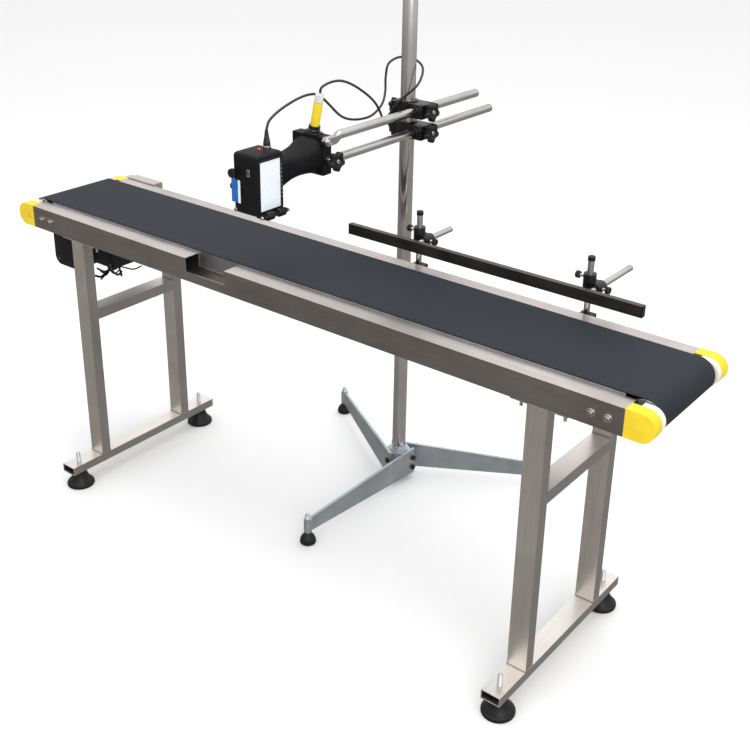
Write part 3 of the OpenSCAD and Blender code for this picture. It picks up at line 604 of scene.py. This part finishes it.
def spot(x, y, z):
    """A point given in millimetres from the floor under the middle of the conveyor."""
    return Vector((x * MM, y * MM + MIDDLE_Y, z * MM))


def middle_of(node):
    """Middle of a CAD node's box."""
    low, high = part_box(node)
    return (low + high) / 2


def oval_ring(y, x, z, half_x, half_z, power, count=40):
    """Ring in an X-Z plane, from an ellipse (power 2) to a rounded rectangle (4 and up)."""
    ring = []
    for angle in even_angles(count):
        c, s = math.cos(angle), math.sin(angle)
        ring.append(spot(x + half_x * math.copysign(abs(c) ** (2 / power), c), y,
                         z + half_z * math.copysign(abs(s) ** (2 / power), s)))
    return ring


def frame_rings(face, outer, inner, corner, depth, shift=0.0):
    """Rounded-rectangle rings for a flat frame, through a function that places (u, v, w)."""
    def rounded(half_u, half_v, r, w, move=0.0):
        points = []
        for quadrant, (su, sv) in enumerate(((1, 1), (-1, 1), (-1, -1), (1, -1))):
            for k in range(7):
                a = math.pi / 2 * (quadrant + k / 6)
                points.append(face(move + su * (half_u - r) + r * math.cos(a),
                                   sv * (half_v - r) + r * math.sin(a), w))
        return points
    small = max(corner * 0.5, 0.2)
    return [rounded(*outer, corner, 0), rounded(*outer, corner, depth * 0.7),
            rounded(outer[0] - depth * 0.3, outer[1] - depth * 0.3, corner, depth),
            rounded(inner[0] + 0.3, inner[1] + 0.3, small, depth, shift),
            rounded(*inner, small, depth - 0.4, shift), rounded(*inner, small, 0, shift)]


def star(radius):
    """Outline of a star knob: a hub with five round lobes."""
    def outline(angle):
        half = math.pi / 5
        off = (angle + half) % (2 * half) - half
        across = 0.72 * radius * math.sin(off)
        reach = (0.28 * radius) ** 2 - across ** 2
        lobe = 0.72 * radius * math.cos(off) + math.sqrt(reach) if reach > 0 else 0
        return max(0.74 * radius, lobe)
    return outline


def gear(radius, teeth, depth):
    """Outline with fine grips round it."""
    return lambda angle: radius - depth * (0.5 + 0.5 * math.cos(teeth * angle)) ** 2


def hexagon(half_width, turned=False):
    """Outline of a hexagon with a corner at angle 0, or turned, with a side there."""
    start = math.pi / 6 if turned else 0
    return lambda angle: half_width / math.cos((angle + start) % (math.pi / 3) - math.pi / 6)


def add_knob_head(bm, outline, radius, depth, place, edge=1.5):
    """Adds a knob head with soft edges and a dished middle."""
    add_polar(bm, [(outline, 0.86, 0), (outline, 0.96, edge * 0.3), (outline, 1, edge),
                   (outline, 1, depth - edge), (outline, 0.97, depth - edge * 0.35),
                   (outline, 0.88, depth), (radius * 0.5, 1, depth),
                   (radius * 0.42, 1, depth - 1.2), (radius * 0.4, 1, depth - 2.2)], place)


def add_screw_end(bm, radius, place):
    """Adds a round screw head with a hexagon socket, its face at local Z 0."""
    socket = hexagon(radius * 0.52, turned=True)
    add_polar(bm, [(radius, 1, -4), (radius, 1, -0.6), (radius, 0.9, 0),
                   (socket, 1.1, 0), (socket, 1, -0.4), (socket, 1, -2.2)], place, count=48)


def threaded_stud(name, base, radius, length, body):
    """Bright stud that stands up from a foot."""
    place = Matrix.Translation(base)
    tip = length - 1.6
    bm = bmesh.new()
    add_thread(bm, place, radius, length - 1.5, 1.5, 0.7)
    add_lathe(bm, [(0, tip), (radius * 0.85, tip), (radius * 0.85, length - 0.5),
                   (radius * 0.7, length), (0, length)], place, steps=24)
    piece_from(name, bm, body, "zinc")


def make_levelling_feet():
    """Black bell-shaped pads on threaded studs, under the ends of the foot bars."""
    bell = [(0, 0), (29.5, 0), (31.3, 0.8), (32, 2.6), (32, 6), (31.2, 8), (29, 9.4), (28.2, 11.2),
            (24.5, 15), (20.6, 20.5), (17.8, 27), (16, 33), (15.2, 37.5), (13.6, 39.2), (13, 40.4),
            (12.6, 41.5), (0, 41.5)]
    for side in ("near_left", "far_left", "near_right", "far_right"):
        node = "foot_" + side
        centre = middle_of(node)
        base = Vector((centre.x, centre.y, 0))
        bm = bmesh.new()
        add_lathe(bm, bell, Matrix.Translation(base), steps=64)
        pad = piece_from("foot_pad_" + side, bm, node, "rubber", "black_plastic", sharp=25)
        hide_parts(node)
        threaded_stud("foot_stud_" + side, base + step(z=41), 5, 45, node)


def make_stand_feet():
    """Rubber domes on bright studs at the ends of the tripod's legs."""
    pole = middle_of("stand_pole")
    dome = [(0, 0), (15, 0), (17, 1), (18, 3.4), (18, 7), (17.2, 11), (15.4, 15.4), (12.6, 19.4),
            (9.4, 22.6), (7, 25.4), (0, 25.4)]
    bm = bmesh.new()
    for angle in STAND_FOOT_ANGLES:
        base = polar(Matrix.Translation((pole.x, pole.y, 0)), STAND_FOOT_REACH, math.radians(angle), 0)
        add_lathe(bm, dome, Matrix.Translation(base), steps=48)
        threaded_stud(f"stand_stud_{angle % 360}", base + step(z=25.5), 6, 48.5, "stand")
    pads = piece_from("stand_foot_domes", bm, "stand", "rubber", sharp=28)
    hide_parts("stand_feet")


def make_knobs():
    """Star knobs of the clamps and the arm, with bright screws in the middle."""
    depth = 13
    for node, (y, z), radius, collar, shank in (
            ("upper_clamp_knob", (POLE_Y, UPPER_CLAMP_Z), 21, 4.4, 3.9),
            ("lower_clamp_knob", (POLE_Y, LOWER_ARM_Z), 21, 4.4, 3.9),
            ("arm_knob", LOWER_EYE, 20, 3.8, 2.9)):
        low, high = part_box(node)
        face = spot(high.x / MM - depth, y, z)
        place = Matrix.Translation(face) @ Matrix.Rotation(math.pi / 2, 4, "Y")
        bm = bmesh.new()
        add_knob_head(bm, star(radius), radius, depth, place)
        add_lathe(bm, [(0, -collar), (6.8, -collar), (7.2, 0.6 - collar), (8.6, 0.2), (0, 0.2)], place)
        head = piece_from(node + "_head", bm, node, "clamp", sharp=30)
        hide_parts(node)
        bm = bmesh.new()
        add_screw_end(bm, 4.5, axis_turn((1, 0, 0), face + step(depth - 0.4)))
        add_thread(bm, axis_turn((1, 0, 0), Vector((low.x, face.y, face.z))), shank,
                   (face.x - low.x) / MM - 1, 1.4, 0.5)
        piece_from(node + "_screw", bm, node, "zinc")
    heads, ends = bmesh.new(), bmesh.new()
    low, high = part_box("pole_lock_knobs")
    for clamp in ("upper_clamp", "lower_clamp"):
        face = Vector((low.x, (low.y + high.y) / 2, middle_of(clamp).z)) + step(10)
        place = Matrix.Translation(face) @ Matrix.Rotation(-math.pi / 2, 4, "Y")
        add_knob_head(heads, star(16), 16, 10, place, edge=1.4)
        add_lathe(heads, [(0, -4.3), (4.6, -4.3), (6, 0.2), (0, 0.2)], place)
        add_screw_end(ends, 3.2, axis_turn((-1, 0, 0), face - step(9.6)))
    knobs = piece_from("pole_lock_heads", heads, "arm_carrier", "clamp", sharp=30)
    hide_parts("pole_lock_knobs")
    piece_from("pole_lock_screws", ends, "arm_carrier", "zinc")


def make_arm(node, eye_y, eye_z):
    """Satin tube, pressed flat into an eye at its near end and open at its far end."""
    low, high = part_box(node)
    outer, inner = 9, 7
    flat_x, flat_z, flat_end = 5.85, 8.8, 38
    taper, steps = 16, 8
    x = (low.x + high.x) / 2 / MM
    z = high.z / MM - outer
    far = (high.y - MIDDLE_Y) / MM
    rings = [oval_ring(eye_y, x, eye_z, flat_x, 8.6, 8), oval_ring(eye_y + 6, x, eye_z, flat_x, flat_z, 8)]
    for k in range(steps + 1):
        t = k / steps
        ease = t * t * (3 - 2 * t)
        rings.append(oval_ring(flat_end + taper * t, x, eye_z + (z - eye_z) * ease,
                               flat_x + (outer - flat_x) * ease, flat_z + (outer - flat_z) * ease,
                               8 - 6 * math.sqrt(ease)))
    rings += [oval_ring(far - back, x, z, radius, radius, 2)
              for back, radius in ((1, outer), (0, 8.6), (0, 7.4), (1, inner), (30, inner))]
    bm = bmesh.new()
    add_rings(bm, rings)
    eye = axis_turn((1, 0, 0), spot(x - flat_x, eye_y, eye_z))
    add_lathe(bm, [(0, 0), (8.4, 0), (9, 0.7), (9, 11), (8.4, 11.7), (0, 11.7)], eye)
    arm = piece_from(node + "_tube", bm, "print_head", "arm", sharp=35)
    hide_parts(node)


def make_arm_washers():
    """Bright washers between the arm eyes and their screws."""
    face_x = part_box("lower_arm")[1].x - 3.7 * MM
    bm = bmesh.new()
    for node, radius, thick in (("arm_bolt", 6.4, 0.7), ("arm_knob", 7.5, 0.8)):
        middle = middle_of(node)
        add_lathe(bm, [(0, 0), (radius, 0), (radius, thick), (0, thick)],
                  axis_turn((1, 0, 0), Vector((face_x, middle.y, middle.z))))
    piece_from("arm_washers", bm, "print_head", "zinc")


def make_grip():
    """Neck that flares like a trumpet from the printer to its square base."""
    rings = [(-74, -60, 855, 25.5, 30.5, 4.5), (-66, -60, 855, 26, 31, 4.5),
             (-60, -58.5, 857, 25.5, 29.5, 4), (-50, -54.5, 860.5, 25, 28, 3.2),
             (-40, -51.5, 864, 25.5, 27.4, 2.7), (-30, -49, 867, 26.5, 27.6, 2.5),
             (-20, -46.3, 870, 28, 28.6, 2.4), (-12, -44, 872.5, 29.7, 30.2, 2.4),
             (-5, -42, 875, 31.6, 32, 2.5), (1, -40.4, 877, 33.6, 33.6, 2.6),
             (6, -39.3, 878, 35.3, 34.8, 2.8), (10, -38.7, 878.6, 36.4, 35.4, 3),
             (11.9, -38.5, 878.8, 36.8, 35.6, 3)]
    bm = bmesh.new()
    add_rings(bm, [oval_ring(*ring, count=64) for ring in rings])
    neck = piece_from("grip_neck", bm, "print_head", "printer", sharp=40)
    cut_box(neck, spot(-72, -58, 800), spot(-56, -32, 848))      # room for the trigger
    shade(neck.data, 40)
    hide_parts("printer_grip")


def make_housing():
    """Printer housing with round corners, in two halves round the screen and the cartridge."""
    low, high = (-96, -138, 786), (-30, -66, 906)
    halves = {
        "printer_rear_cover": [((-60.1, -150, 770), (0, -50, 920)), ((-110, -150, 806), (-74.8, -98, 854)),
                               ((-92, -134, 780), (-79, -96, 790))],
        "printer_front_cover": [((-110, -150, 770), (-59.9, -50, 920)), ((-31.5, -132, 797), (0, -76, 894)),
                                ((-58, -150, 864), (-50, -134, 878))],
    }
    for node, cuts in halves.items():
        bm = bmesh.new()
        add_box(bm, spot(*low), spot(*high), 8 * MM, 7)
        half = piece_from(node + "_shell", bm, "print_head", "printer")
        for cut in cuts:
            cut_box(half, spot(*cut[0]), spot(*cut[1]))
        if node == "printer_rear_cover":
            button = middle_of("power_button")
            hole = bmesh.new()
            add_lathe(hole, [(0, 897), (6.5, 897), (6.5, 903.2), (4.15, 903.2), (4.15, 908), (0, 908)],
                      Matrix.Translation((button.x, button.y, 0)))
            cut_away(half, hole)
        shade(half.data, 32)
        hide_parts(node)
    bm = bmesh.new()
    for y in (-132, -101, -72):
        add_box(bm, spot(-40, y - 3, 784.8), spot(-17.6, y + 3, 794.4), 2.4 * MM, 4)
    piece_from("wheel_lugs", bm, "print_head", "printer")


def make_cartridge_knobs():
    """Ribbed knob that locks the cartridge, and the thumb grip on the cartridge's own end."""
    outline = gear(9, 18, 0.7)
    place = axis_turn((0, -1, 0), spot(-90, -141, 866))
    bm = bmesh.new()
    add_polar(bm, [(outline, 0.9, 0), (outline, 1, 0.9), (outline, 1, 6.8), (outline, 0.93, 7.8),
                   (6, 1, 8), (5.2, 1, 7.2)], place, 108)
    add_lathe(bm, [(0, -6), (1.9, -6), (3.5, 0.2), (0, 0.2)], place)
    knob = piece_from("cartridge_knob_head", bm, "cartridge_knob", "black", sharp=30)
    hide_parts("cartridge_knob")
    grip = gear(7, 14, 0.6)
    bm = bmesh.new()
    add_polar(bm, [(4.5, 1, -1), (4.5, 1, 1.5), (grip, 0.93, 1.6), (grip, 1, 2.4),
                   (grip, 1, 6.2), (grip, 0.9, 7), (4, 1, 7.1)],
              axis_turn((-1, 0, 0), spot(-98.5, -130.5, 836)), 84)
    piece_from("cartridge_thumb_grip", bm, "ink_cartridge", "black", sharp=30)


def make_printer_trim():
    """Screen frame, side keys, port shell and axle ends."""
    screen = middle_of("display_screen")
    y, z = (screen.y - MIDDLE_Y) / MM, screen.z / MM
    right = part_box("display_screen")[1].x / MM + 0.2
    bm = bmesh.new()
    add_rings(bm, frame_rings(lambda u, v, w: spot(right - 0.6 + w, y + 1.6 + u, z + v),
                              (32.6, 51.8), (27.5, 47.9), 3, 1.7, shift=-1.6), closed=False)
    piece_from("screen_frame", bm, "print_head", "gloss_black")
    bm = bmesh.new()
    for key_z in (z + 33 - 8 * k for k in range(9)):
        add_box(bm, spot(right + 0.9, y + 29.6, key_z), spot(right + 1.25, y + 31.2, key_z + 2.5),
                0.1 * MM, 2)
    piece_from("side_keys", bm, "print_head", "grey")
    bm = bmesh.new()
    add_rings(bm, frame_rings(lambda u, v, w: spot(-54 + u, -137.2 - w, 871 + v),
                              (3.9, 6.9), (2.7, 5.7), 1.2, 1.2), closed=False)
    add_box(bm, spot(-54.9, -137.4, 866.5), spot(-53.1, -134.2, 875.5), 0.3 * MM, 2)
    piece_from("port_shell", bm, "print_head", "zinc")
    wheels = middle_of("guide_wheels")
    bm = bmesh.new()
    for side, end in ((-1, -137.4), (1, -66.8)):
        add_lathe(bm, [(0, 0), (3.6, 0), (3.6, 1.4), (2.8, 2.2), (0, 2.4)],
                  axis_turn((0, side, 0), spot(wheels.x / MM, end, wheels.z / MM)), 28)
    add_lathe(bm, [(0, 0), (4.4, 0), (4.4, 1.2), (3.2, 2), (0, 2.2)],
              axis_turn((0, -1, 0), spot(-90, -137.8, 792.5)), 28)
    piece_from("axle_ends", bm, "print_head", "zinc")


def make_wheels():
    """Grooved rubber rollers on a bright axle, under the screen."""
    middle = middle_of("guide_wheels")
    x, z = middle.x / MM, middle.z / MM
    profile = [(0, 0), (6.6, 0), (7.6, 0.7), (8, 1.8)]
    for groove in (4, 8, 12):
        profile += [(8, groove), (7.2, groove + 0.5), (7.2, groove + 1.1), (8, groove + 1.6)]
    profile += [(8, 16.2), (7.6, 17.3), (6.6, 18), (0, 18)]
    bm = bmesh.new()
    for start in (-126, -95):
        add_lathe(bm, profile, axis_turn((0, 1, 0), spot(x, start, z)), 48)
    tyres = piece_from("wheel_tyres", bm, "guide_wheels", "rubber", sharp=28)
    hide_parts("guide_wheels")
    bm = bmesh.new()
    add_lathe(bm, [(0, 0), (1.9, 0), (1.9, 71), (0, 71)], axis_turn((0, 1, 0), spot(x, -137.5, z)))
    piece_from("wheel_axle", bm, "guide_wheels", "zinc")


def make_sensor():
    """Yellow barrel with a black nut and a bright washer at its foot."""
    lean = math.radians(12)
    middle = middle_of("sensor_bracket")
    base = Vector((middle.x, middle.y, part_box("sensor_bracket")[0].z)) + step(y=0.5, z=5)
    place = Matrix.Translation(base) @ Matrix.Rotation(lean, 4, "Y")
    bm = bmesh.new()
    add_lathe(bm, [(0, 11), (9, 11), (9, 57.5), (8.8, 58), (8.8, 58.6), (9, 59), (9, 59.8), (0, 59.8)], place)
    tube = piece_from("sensor_barrel", bm, "print_head", "sensor", sharp=28)
    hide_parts("sensor_body")
    nut = hexagon(11.26)
    bm = bmesh.new()
    add_polar(bm, [(nut, 0.94, 0.1), (nut, 1, 0.6), (nut, 1, 3.4), (nut, 0.94, 4)], place, 72)
    add_lathe(bm, [(0, 5.4), (11, 5.4), (11.5, 5.9), (11.5, 7.6), (10.9, 8), (10.9, 8.6), (11.5, 9),
                   (11.5, 11.4), (11, 12), (0, 12)], place)
    piece_from("sensor_nuts", bm, "print_head", "black", sharp=28)
    bm = bmesh.new()
    add_lathe(bm, [(0, 3.9), (12.8, 3.9), (12.8, 5.5), (0, 5.5)], place)
    piece_from("sensor_washer", bm, "print_head", "zinc")


def make_rail_bolts():
    """Socket screws and washers at the rail ends, and hexagon bolts under the leg plates."""
    washers, heads, under = bmesh.new(), bmesh.new(), bmesh.new()
    socket = hexagon(2.8)
    for end, x, side in product((-1, 1), (689, 719), (-1, 1)):
        face = axis_turn((0, side, 0), spot(end * x, side * RAIL_FACE_Y, 628))
        add_lathe(washers, [(0, -6), (3, -6), (3, 0), (7.2, 0), (7.5, 0.3), (7.5, 0.9), (7.2, 1.2), (0, 1.2)],
                  face)
        add_polar(heads, [(5.2, 1, 1.2), (5.5, 1, 1.6), (5.5, 1, 5.6), (5, 1, 6.2), (3.4, 1, 6.2),
                          (socket, 1, 6), (socket, 1, 2.8)], face, 48)
    screws = piece_from("rail_screw_heads", heads, "conveyor", "bolt", sharp=28)
    piece_from("rail_washers", washers, "conveyor", "zinc", sharp=28)
    nut = hexagon(5.8 * math.cos(math.pi / 6))
    for leg, x, side in product((-LEG_X, LEG_X), (-42, 42), (-1, 1)):
        face = axis_turn((0, 0, -1), spot(leg + x, side * 120, 601))
        add_thread(under, face, 3, 16.5, 1, 0.4)
        add_polar(under, [(nut, 0.94, 0.1), (nut, 1, 0.6), (nut, 1, 4.4), (nut, 0.94, 5)], face, 72)
        add_lathe(under, [(0, -8), (3, -8), (3, 0.1), (0, 0.1)], face)
    piece_from("leg_plate_bolts", under, "conveyor", "zinc", sharp=28)
    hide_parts("frame_bolts")


def make_welds():
    """Small weld beads where the tubes of the leg frames meet."""
    bar_top, bar_half, tube_half = 62, 20, 12.5
    corners = [(-bar_half, -tube_half), (bar_half, -tube_half), (bar_half, tube_half), (-bar_half, tube_half)]
    for node in ("left_leg", "right_leg"):
        leg_x = middle_of(node).x / MM
        bm = bmesh.new()
        for side in (-1, 1):
            for (ax, ay), (bx, by) in zip(corners, corners[1:] + corners[:1]):
                start = spot(leg_x + ax, side * UPRIGHT_Y + ay, bar_top + 0.4)
                add_bead(bm, [start + step(bx - ax, by - ay) * (k / 26) for k in range(27)], 1.7 * MM)
            for z in (412, 437):
                add_bead(bm, [spot(leg_x - 18 + 1.5 * k, side * (UPRIGHT_Y - tube_half), z)
                              for k in range(25)], 1.5 * MM)
        piece_from(node + "_welds", bm, "conveyor", "weld", sharp=60)


def make_guide_screws():
    """Grooved thumb knobs on bright screws, at the cross clamps."""
    outline = gear(7, 14, 0.8)
    heads, stems = bmesh.new(), bmesh.new()
    for post_x, (x, z, side, length) in product(POST_X, ((-20, 722, -1, 13.6), (34.5, 706, 1, 9.8))):
        face = spot(post_x + x, POST_Y, z)
        add_polar(heads, [(outline, 0.9, 0), (outline, 1, 0.8), (outline, 1, 6.8), (outline, 0.9, 7.9),
                          (3.5, 1, 7.9), (3, 1, 7.1)], axis_turn((side, 0, 0), face), 84)
        add_thread(stems, axis_turn((side, 0, 0), face - step(side * length)), 2.9, length, 1, 0.4)
    knobs = piece_from("guide_thumb_knobs", heads, "guide_carrier", "black", sharp=40)
    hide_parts("guide_screws")
    piece_from("guide_screw_stems", stems, "guide_carrier", "zinc")


def make_motor_trim():
    """Fan slots, seam bands and screws of the motor, and glands on its terminal box."""
    x, z = MOTOR_X, MOTOR_Z
    bm = bmesh.new()
    for start in (-93, -62, 20):
        add_rings(bm, frame_rings(lambda u, v, w: spot(x + u, start + w, z + v),
                                  (45, 45), (43.5, 43.5), 20, 3), closed=False)
    for k in range(-4, 5):
        half = 30 - 2.2 * abs(k)
        add_box(bm, spot(x - half, -99.2, z + 7 * k - 1.3), spot(x + half, -97.6, z + 7 * k + 1.3),
                0.5 * MM, 2)
    for k in range(-3, 4):
        add_box(bm, spot(x + 9 * k - 1.4, -56, z - 46.2), spot(x + 9 * k + 1.4, 16, z - 43.6), 0.6 * MM, 2)
        add_box(bm, spot(x - 46.2, -56, z + 9 * k - 1.4), spot(x - 43.6, 16, z + 9 * k + 1.4), 0.6 * MM, 2)
    piece_from("motor_ribs", bm, "conveyor", "motor")
    gland = hexagon(7.8, turned=True)
    bm = bmesh.new()
    for y in GLAND_Y:
        add_polar(bm, [(gland, 1, 0), (gland, 1, 4), (6.8, 1, 4.2), (6.8, 1, 8), (5, 1, 11), (4, 1, 11.5)],
                  axis_turn((0, 0, -1), spot(GLAND_X, y, 524.2)), 48)
    add_box(bm, spot(-645, -71.4, 527), spot(-567, -69.8, 591), 1.2 * MM, 3)
    piece_from("terminal_box_lid", bm, "conveyor", "black")
    bm = bmesh.new()
    for screw_x, screw_z in product((-640, -572), (532, 586)):
        add_screw_end(bm, 2.8, axis_turn((0, -1, 0), spot(screw_x, -71.5, screw_z)))
    for across, up in product((-30.96, 30.96), repeat=2):
        add_screw_end(bm, 3, axis_turn((0, -1, 0), spot(x + across, -98.2, z + up)))
    piece_from("motor_screws", bm, "conveyor", "zinc")


def make_clamp_trim():
    """Collars round the pole and the arms, and cap screws, on both cross clamps."""
    pole = middle_of("stand_pole")
    arm_x = middle_of("lower_arm").x
    pole_collar = [(16.4, -0.4), (22.5, -0.4), (22.5, 1.6), (21.6, 2.4), (17.2, 2.4), (16.4, 1.8)]
    arm_collar = [(9.3, -0.4), (13.6, -0.4), (13.6, 2.2), (12.8, 3), (9.9, 3), (9.3, 2.4)]
    collars, screws = bmesh.new(), bmesh.new()
    for clamp in ("upper_clamp", "lower_clamp"):
        low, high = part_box(clamp)
        z = (low.z + high.z) / 2
        for side, face in ((1, high.z), (-1, low.z)):
            add_turned_ring(collars, pole_collar, axis_turn((0, 0, side), Vector((pole.x, pole.y, face))))
        for side in (-1, 1):
            face = Vector((arm_x, pole.y, z)) + step(y=side * 22)
            add_turned_ring(collars, arm_collar, axis_turn((0, side, 0), face))
        for x, y in product((-44, 20), (POLE_Y - 15, POLE_Y + 15)):
            add_screw_end(screws, 3.2, axis_turn((0, 0, 1), spot(x, y, high.z / MM + 0.4)))
    piece_from("clamp_collars", collars, "arm_carrier", "clamp", sharp=30)
    piece_from("clamp_screws", screws, "arm_carrier", "black")


def make_motor_wires():
    """Bundle of loose wire ends that hangs under the terminal box."""
    bm = bmesh.new()
    for k in range(11):
        turn = 2.4 * k
        reach = 9 + 2.1 * (k % 4)
        start = spot(GLAND_X + 3 * math.cos(turn), GLAND_Y[k % 2] + 3 * math.sin(turn), 514)
        side = step(math.cos(turn), math.sin(turn)) * reach
        line = [start, start - step(z=8), start + side * 0.8 - step(z=13),
                start + side * 2.0 - step(z=12 + 2 * (k % 5)), start + side * 3.2 - step(z=2 + 3 * (k % 6))]
        add_tube(bm, smooth_route(line, 5), (1.8 + 0.4 * (k % 3)) * MM, 10)
    piece_from("motor_wires", bm, "conveyor", "cable")


def make_post_caps():
    """Black caps on the tops of the guide posts."""
    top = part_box("guide_posts")[1].z / MM
    bm = bmesh.new()
    for x in POST_X:
        add_lathe(bm, [(0, -8), (6.2, -8), (7, -7.4), (7, -0.6), (6, 0.5), (0, 0.8)],
                  Matrix.Translation(spot(x, POST_Y, top)), 36)
    piece_from("post_caps", bm, "conveyor", "black")


make_levelling_feet()
make_stand_feet()
make_knobs()
make_arm("upper_arm", *UPPER_EYE)
make_arm("lower_arm", *LOWER_EYE)
make_arm_washers()
make_grip()
make_housing()
make_cartridge_knobs()
make_printer_trim()
make_wheels()
make_sensor()
make_rail_bolts()
make_welds()
make_guide_screws()
make_motor_trim()
make_clamp_trim()
make_motor_wires()
make_post_caps()


# ---------------------------------------------------------------- studio

TOWARDS = (0, 0, 0.5)                # what the lights look at
DIM_SIDE = (-0.788, -0.616, 0)       # the camera's left, where the surround is dimmer


def area_light(name, at, size, power):
    """Square light that looks at the middle of the machine."""
    data = bpy.data.lights.new(name, "AREA")
    data.shape = "RECTANGLE"
    data.size = data.size_y = size
    data.energy = power
    light = add_object(name, data)
    light.location = at
    light.rotation_euler = (Vector(TOWARDS) - Vector(at)).to_track_quat("-Z", "Y").to_euler()


def make_studio():
    """Pale floor, a soft surround that is dimmer low down and on one side, and large soft lights."""
    bm = bmesh.new()
    bmesh.ops.create_grid(bm, x_segments=1, y_segments=1, size=30)
    floor = mesh_object("floor", bm)
    floor.data.materials.append(finish("floor_finish", (0.86, 0.86, 0.86), (0.88, 0.88, 0.88), (0.6, 0.7),
                                       patch=0.5, grain=30, bump=0.0))
    floor.visible_glossy = False

    world = bpy.data.worlds.new("surround")
    world.use_nodes = True
    SCENE.world = world
    tree = world.node_tree
    lift = map_range(tree, coord_parts(tree, "Generated")["Z"], (-1, 1), (0, 1))
    sky = ramp(tree, lift, [(0.0, (0.32, 0.30, 0.29)), (0.42, (0.30, 0.28, 0.27)),
                            (0.56, (0.75, 0.74, 0.74)), (0.8, (1.0, 1.0, 1.0))])
    side = add_node(tree, "ShaderNodeVectorMath", operation="DOT_PRODUCT",
                    Vector=add_node(tree, "ShaderNodeTexCoord").outputs["Generated"])
    side.inputs[1].default_value = DIM_SIDE
    dim = map_range(tree, side.outputs["Value"], (0.15, 0.75), (1.15, 0.82), interpolation_type="SMOOTHSTEP")
    tree.links.new(scaled_colour(tree, sky, dim), tree.nodes["Background"].inputs["Color"])
    area_light("overhead", (0.3, -0.4, 3.4), 3.5, 70)
    area_light("front_right", (3.2, -2.4, 2.4), 2.0, 40)


make_studio()
SCENE.view_settings.view_transform = "Standard"
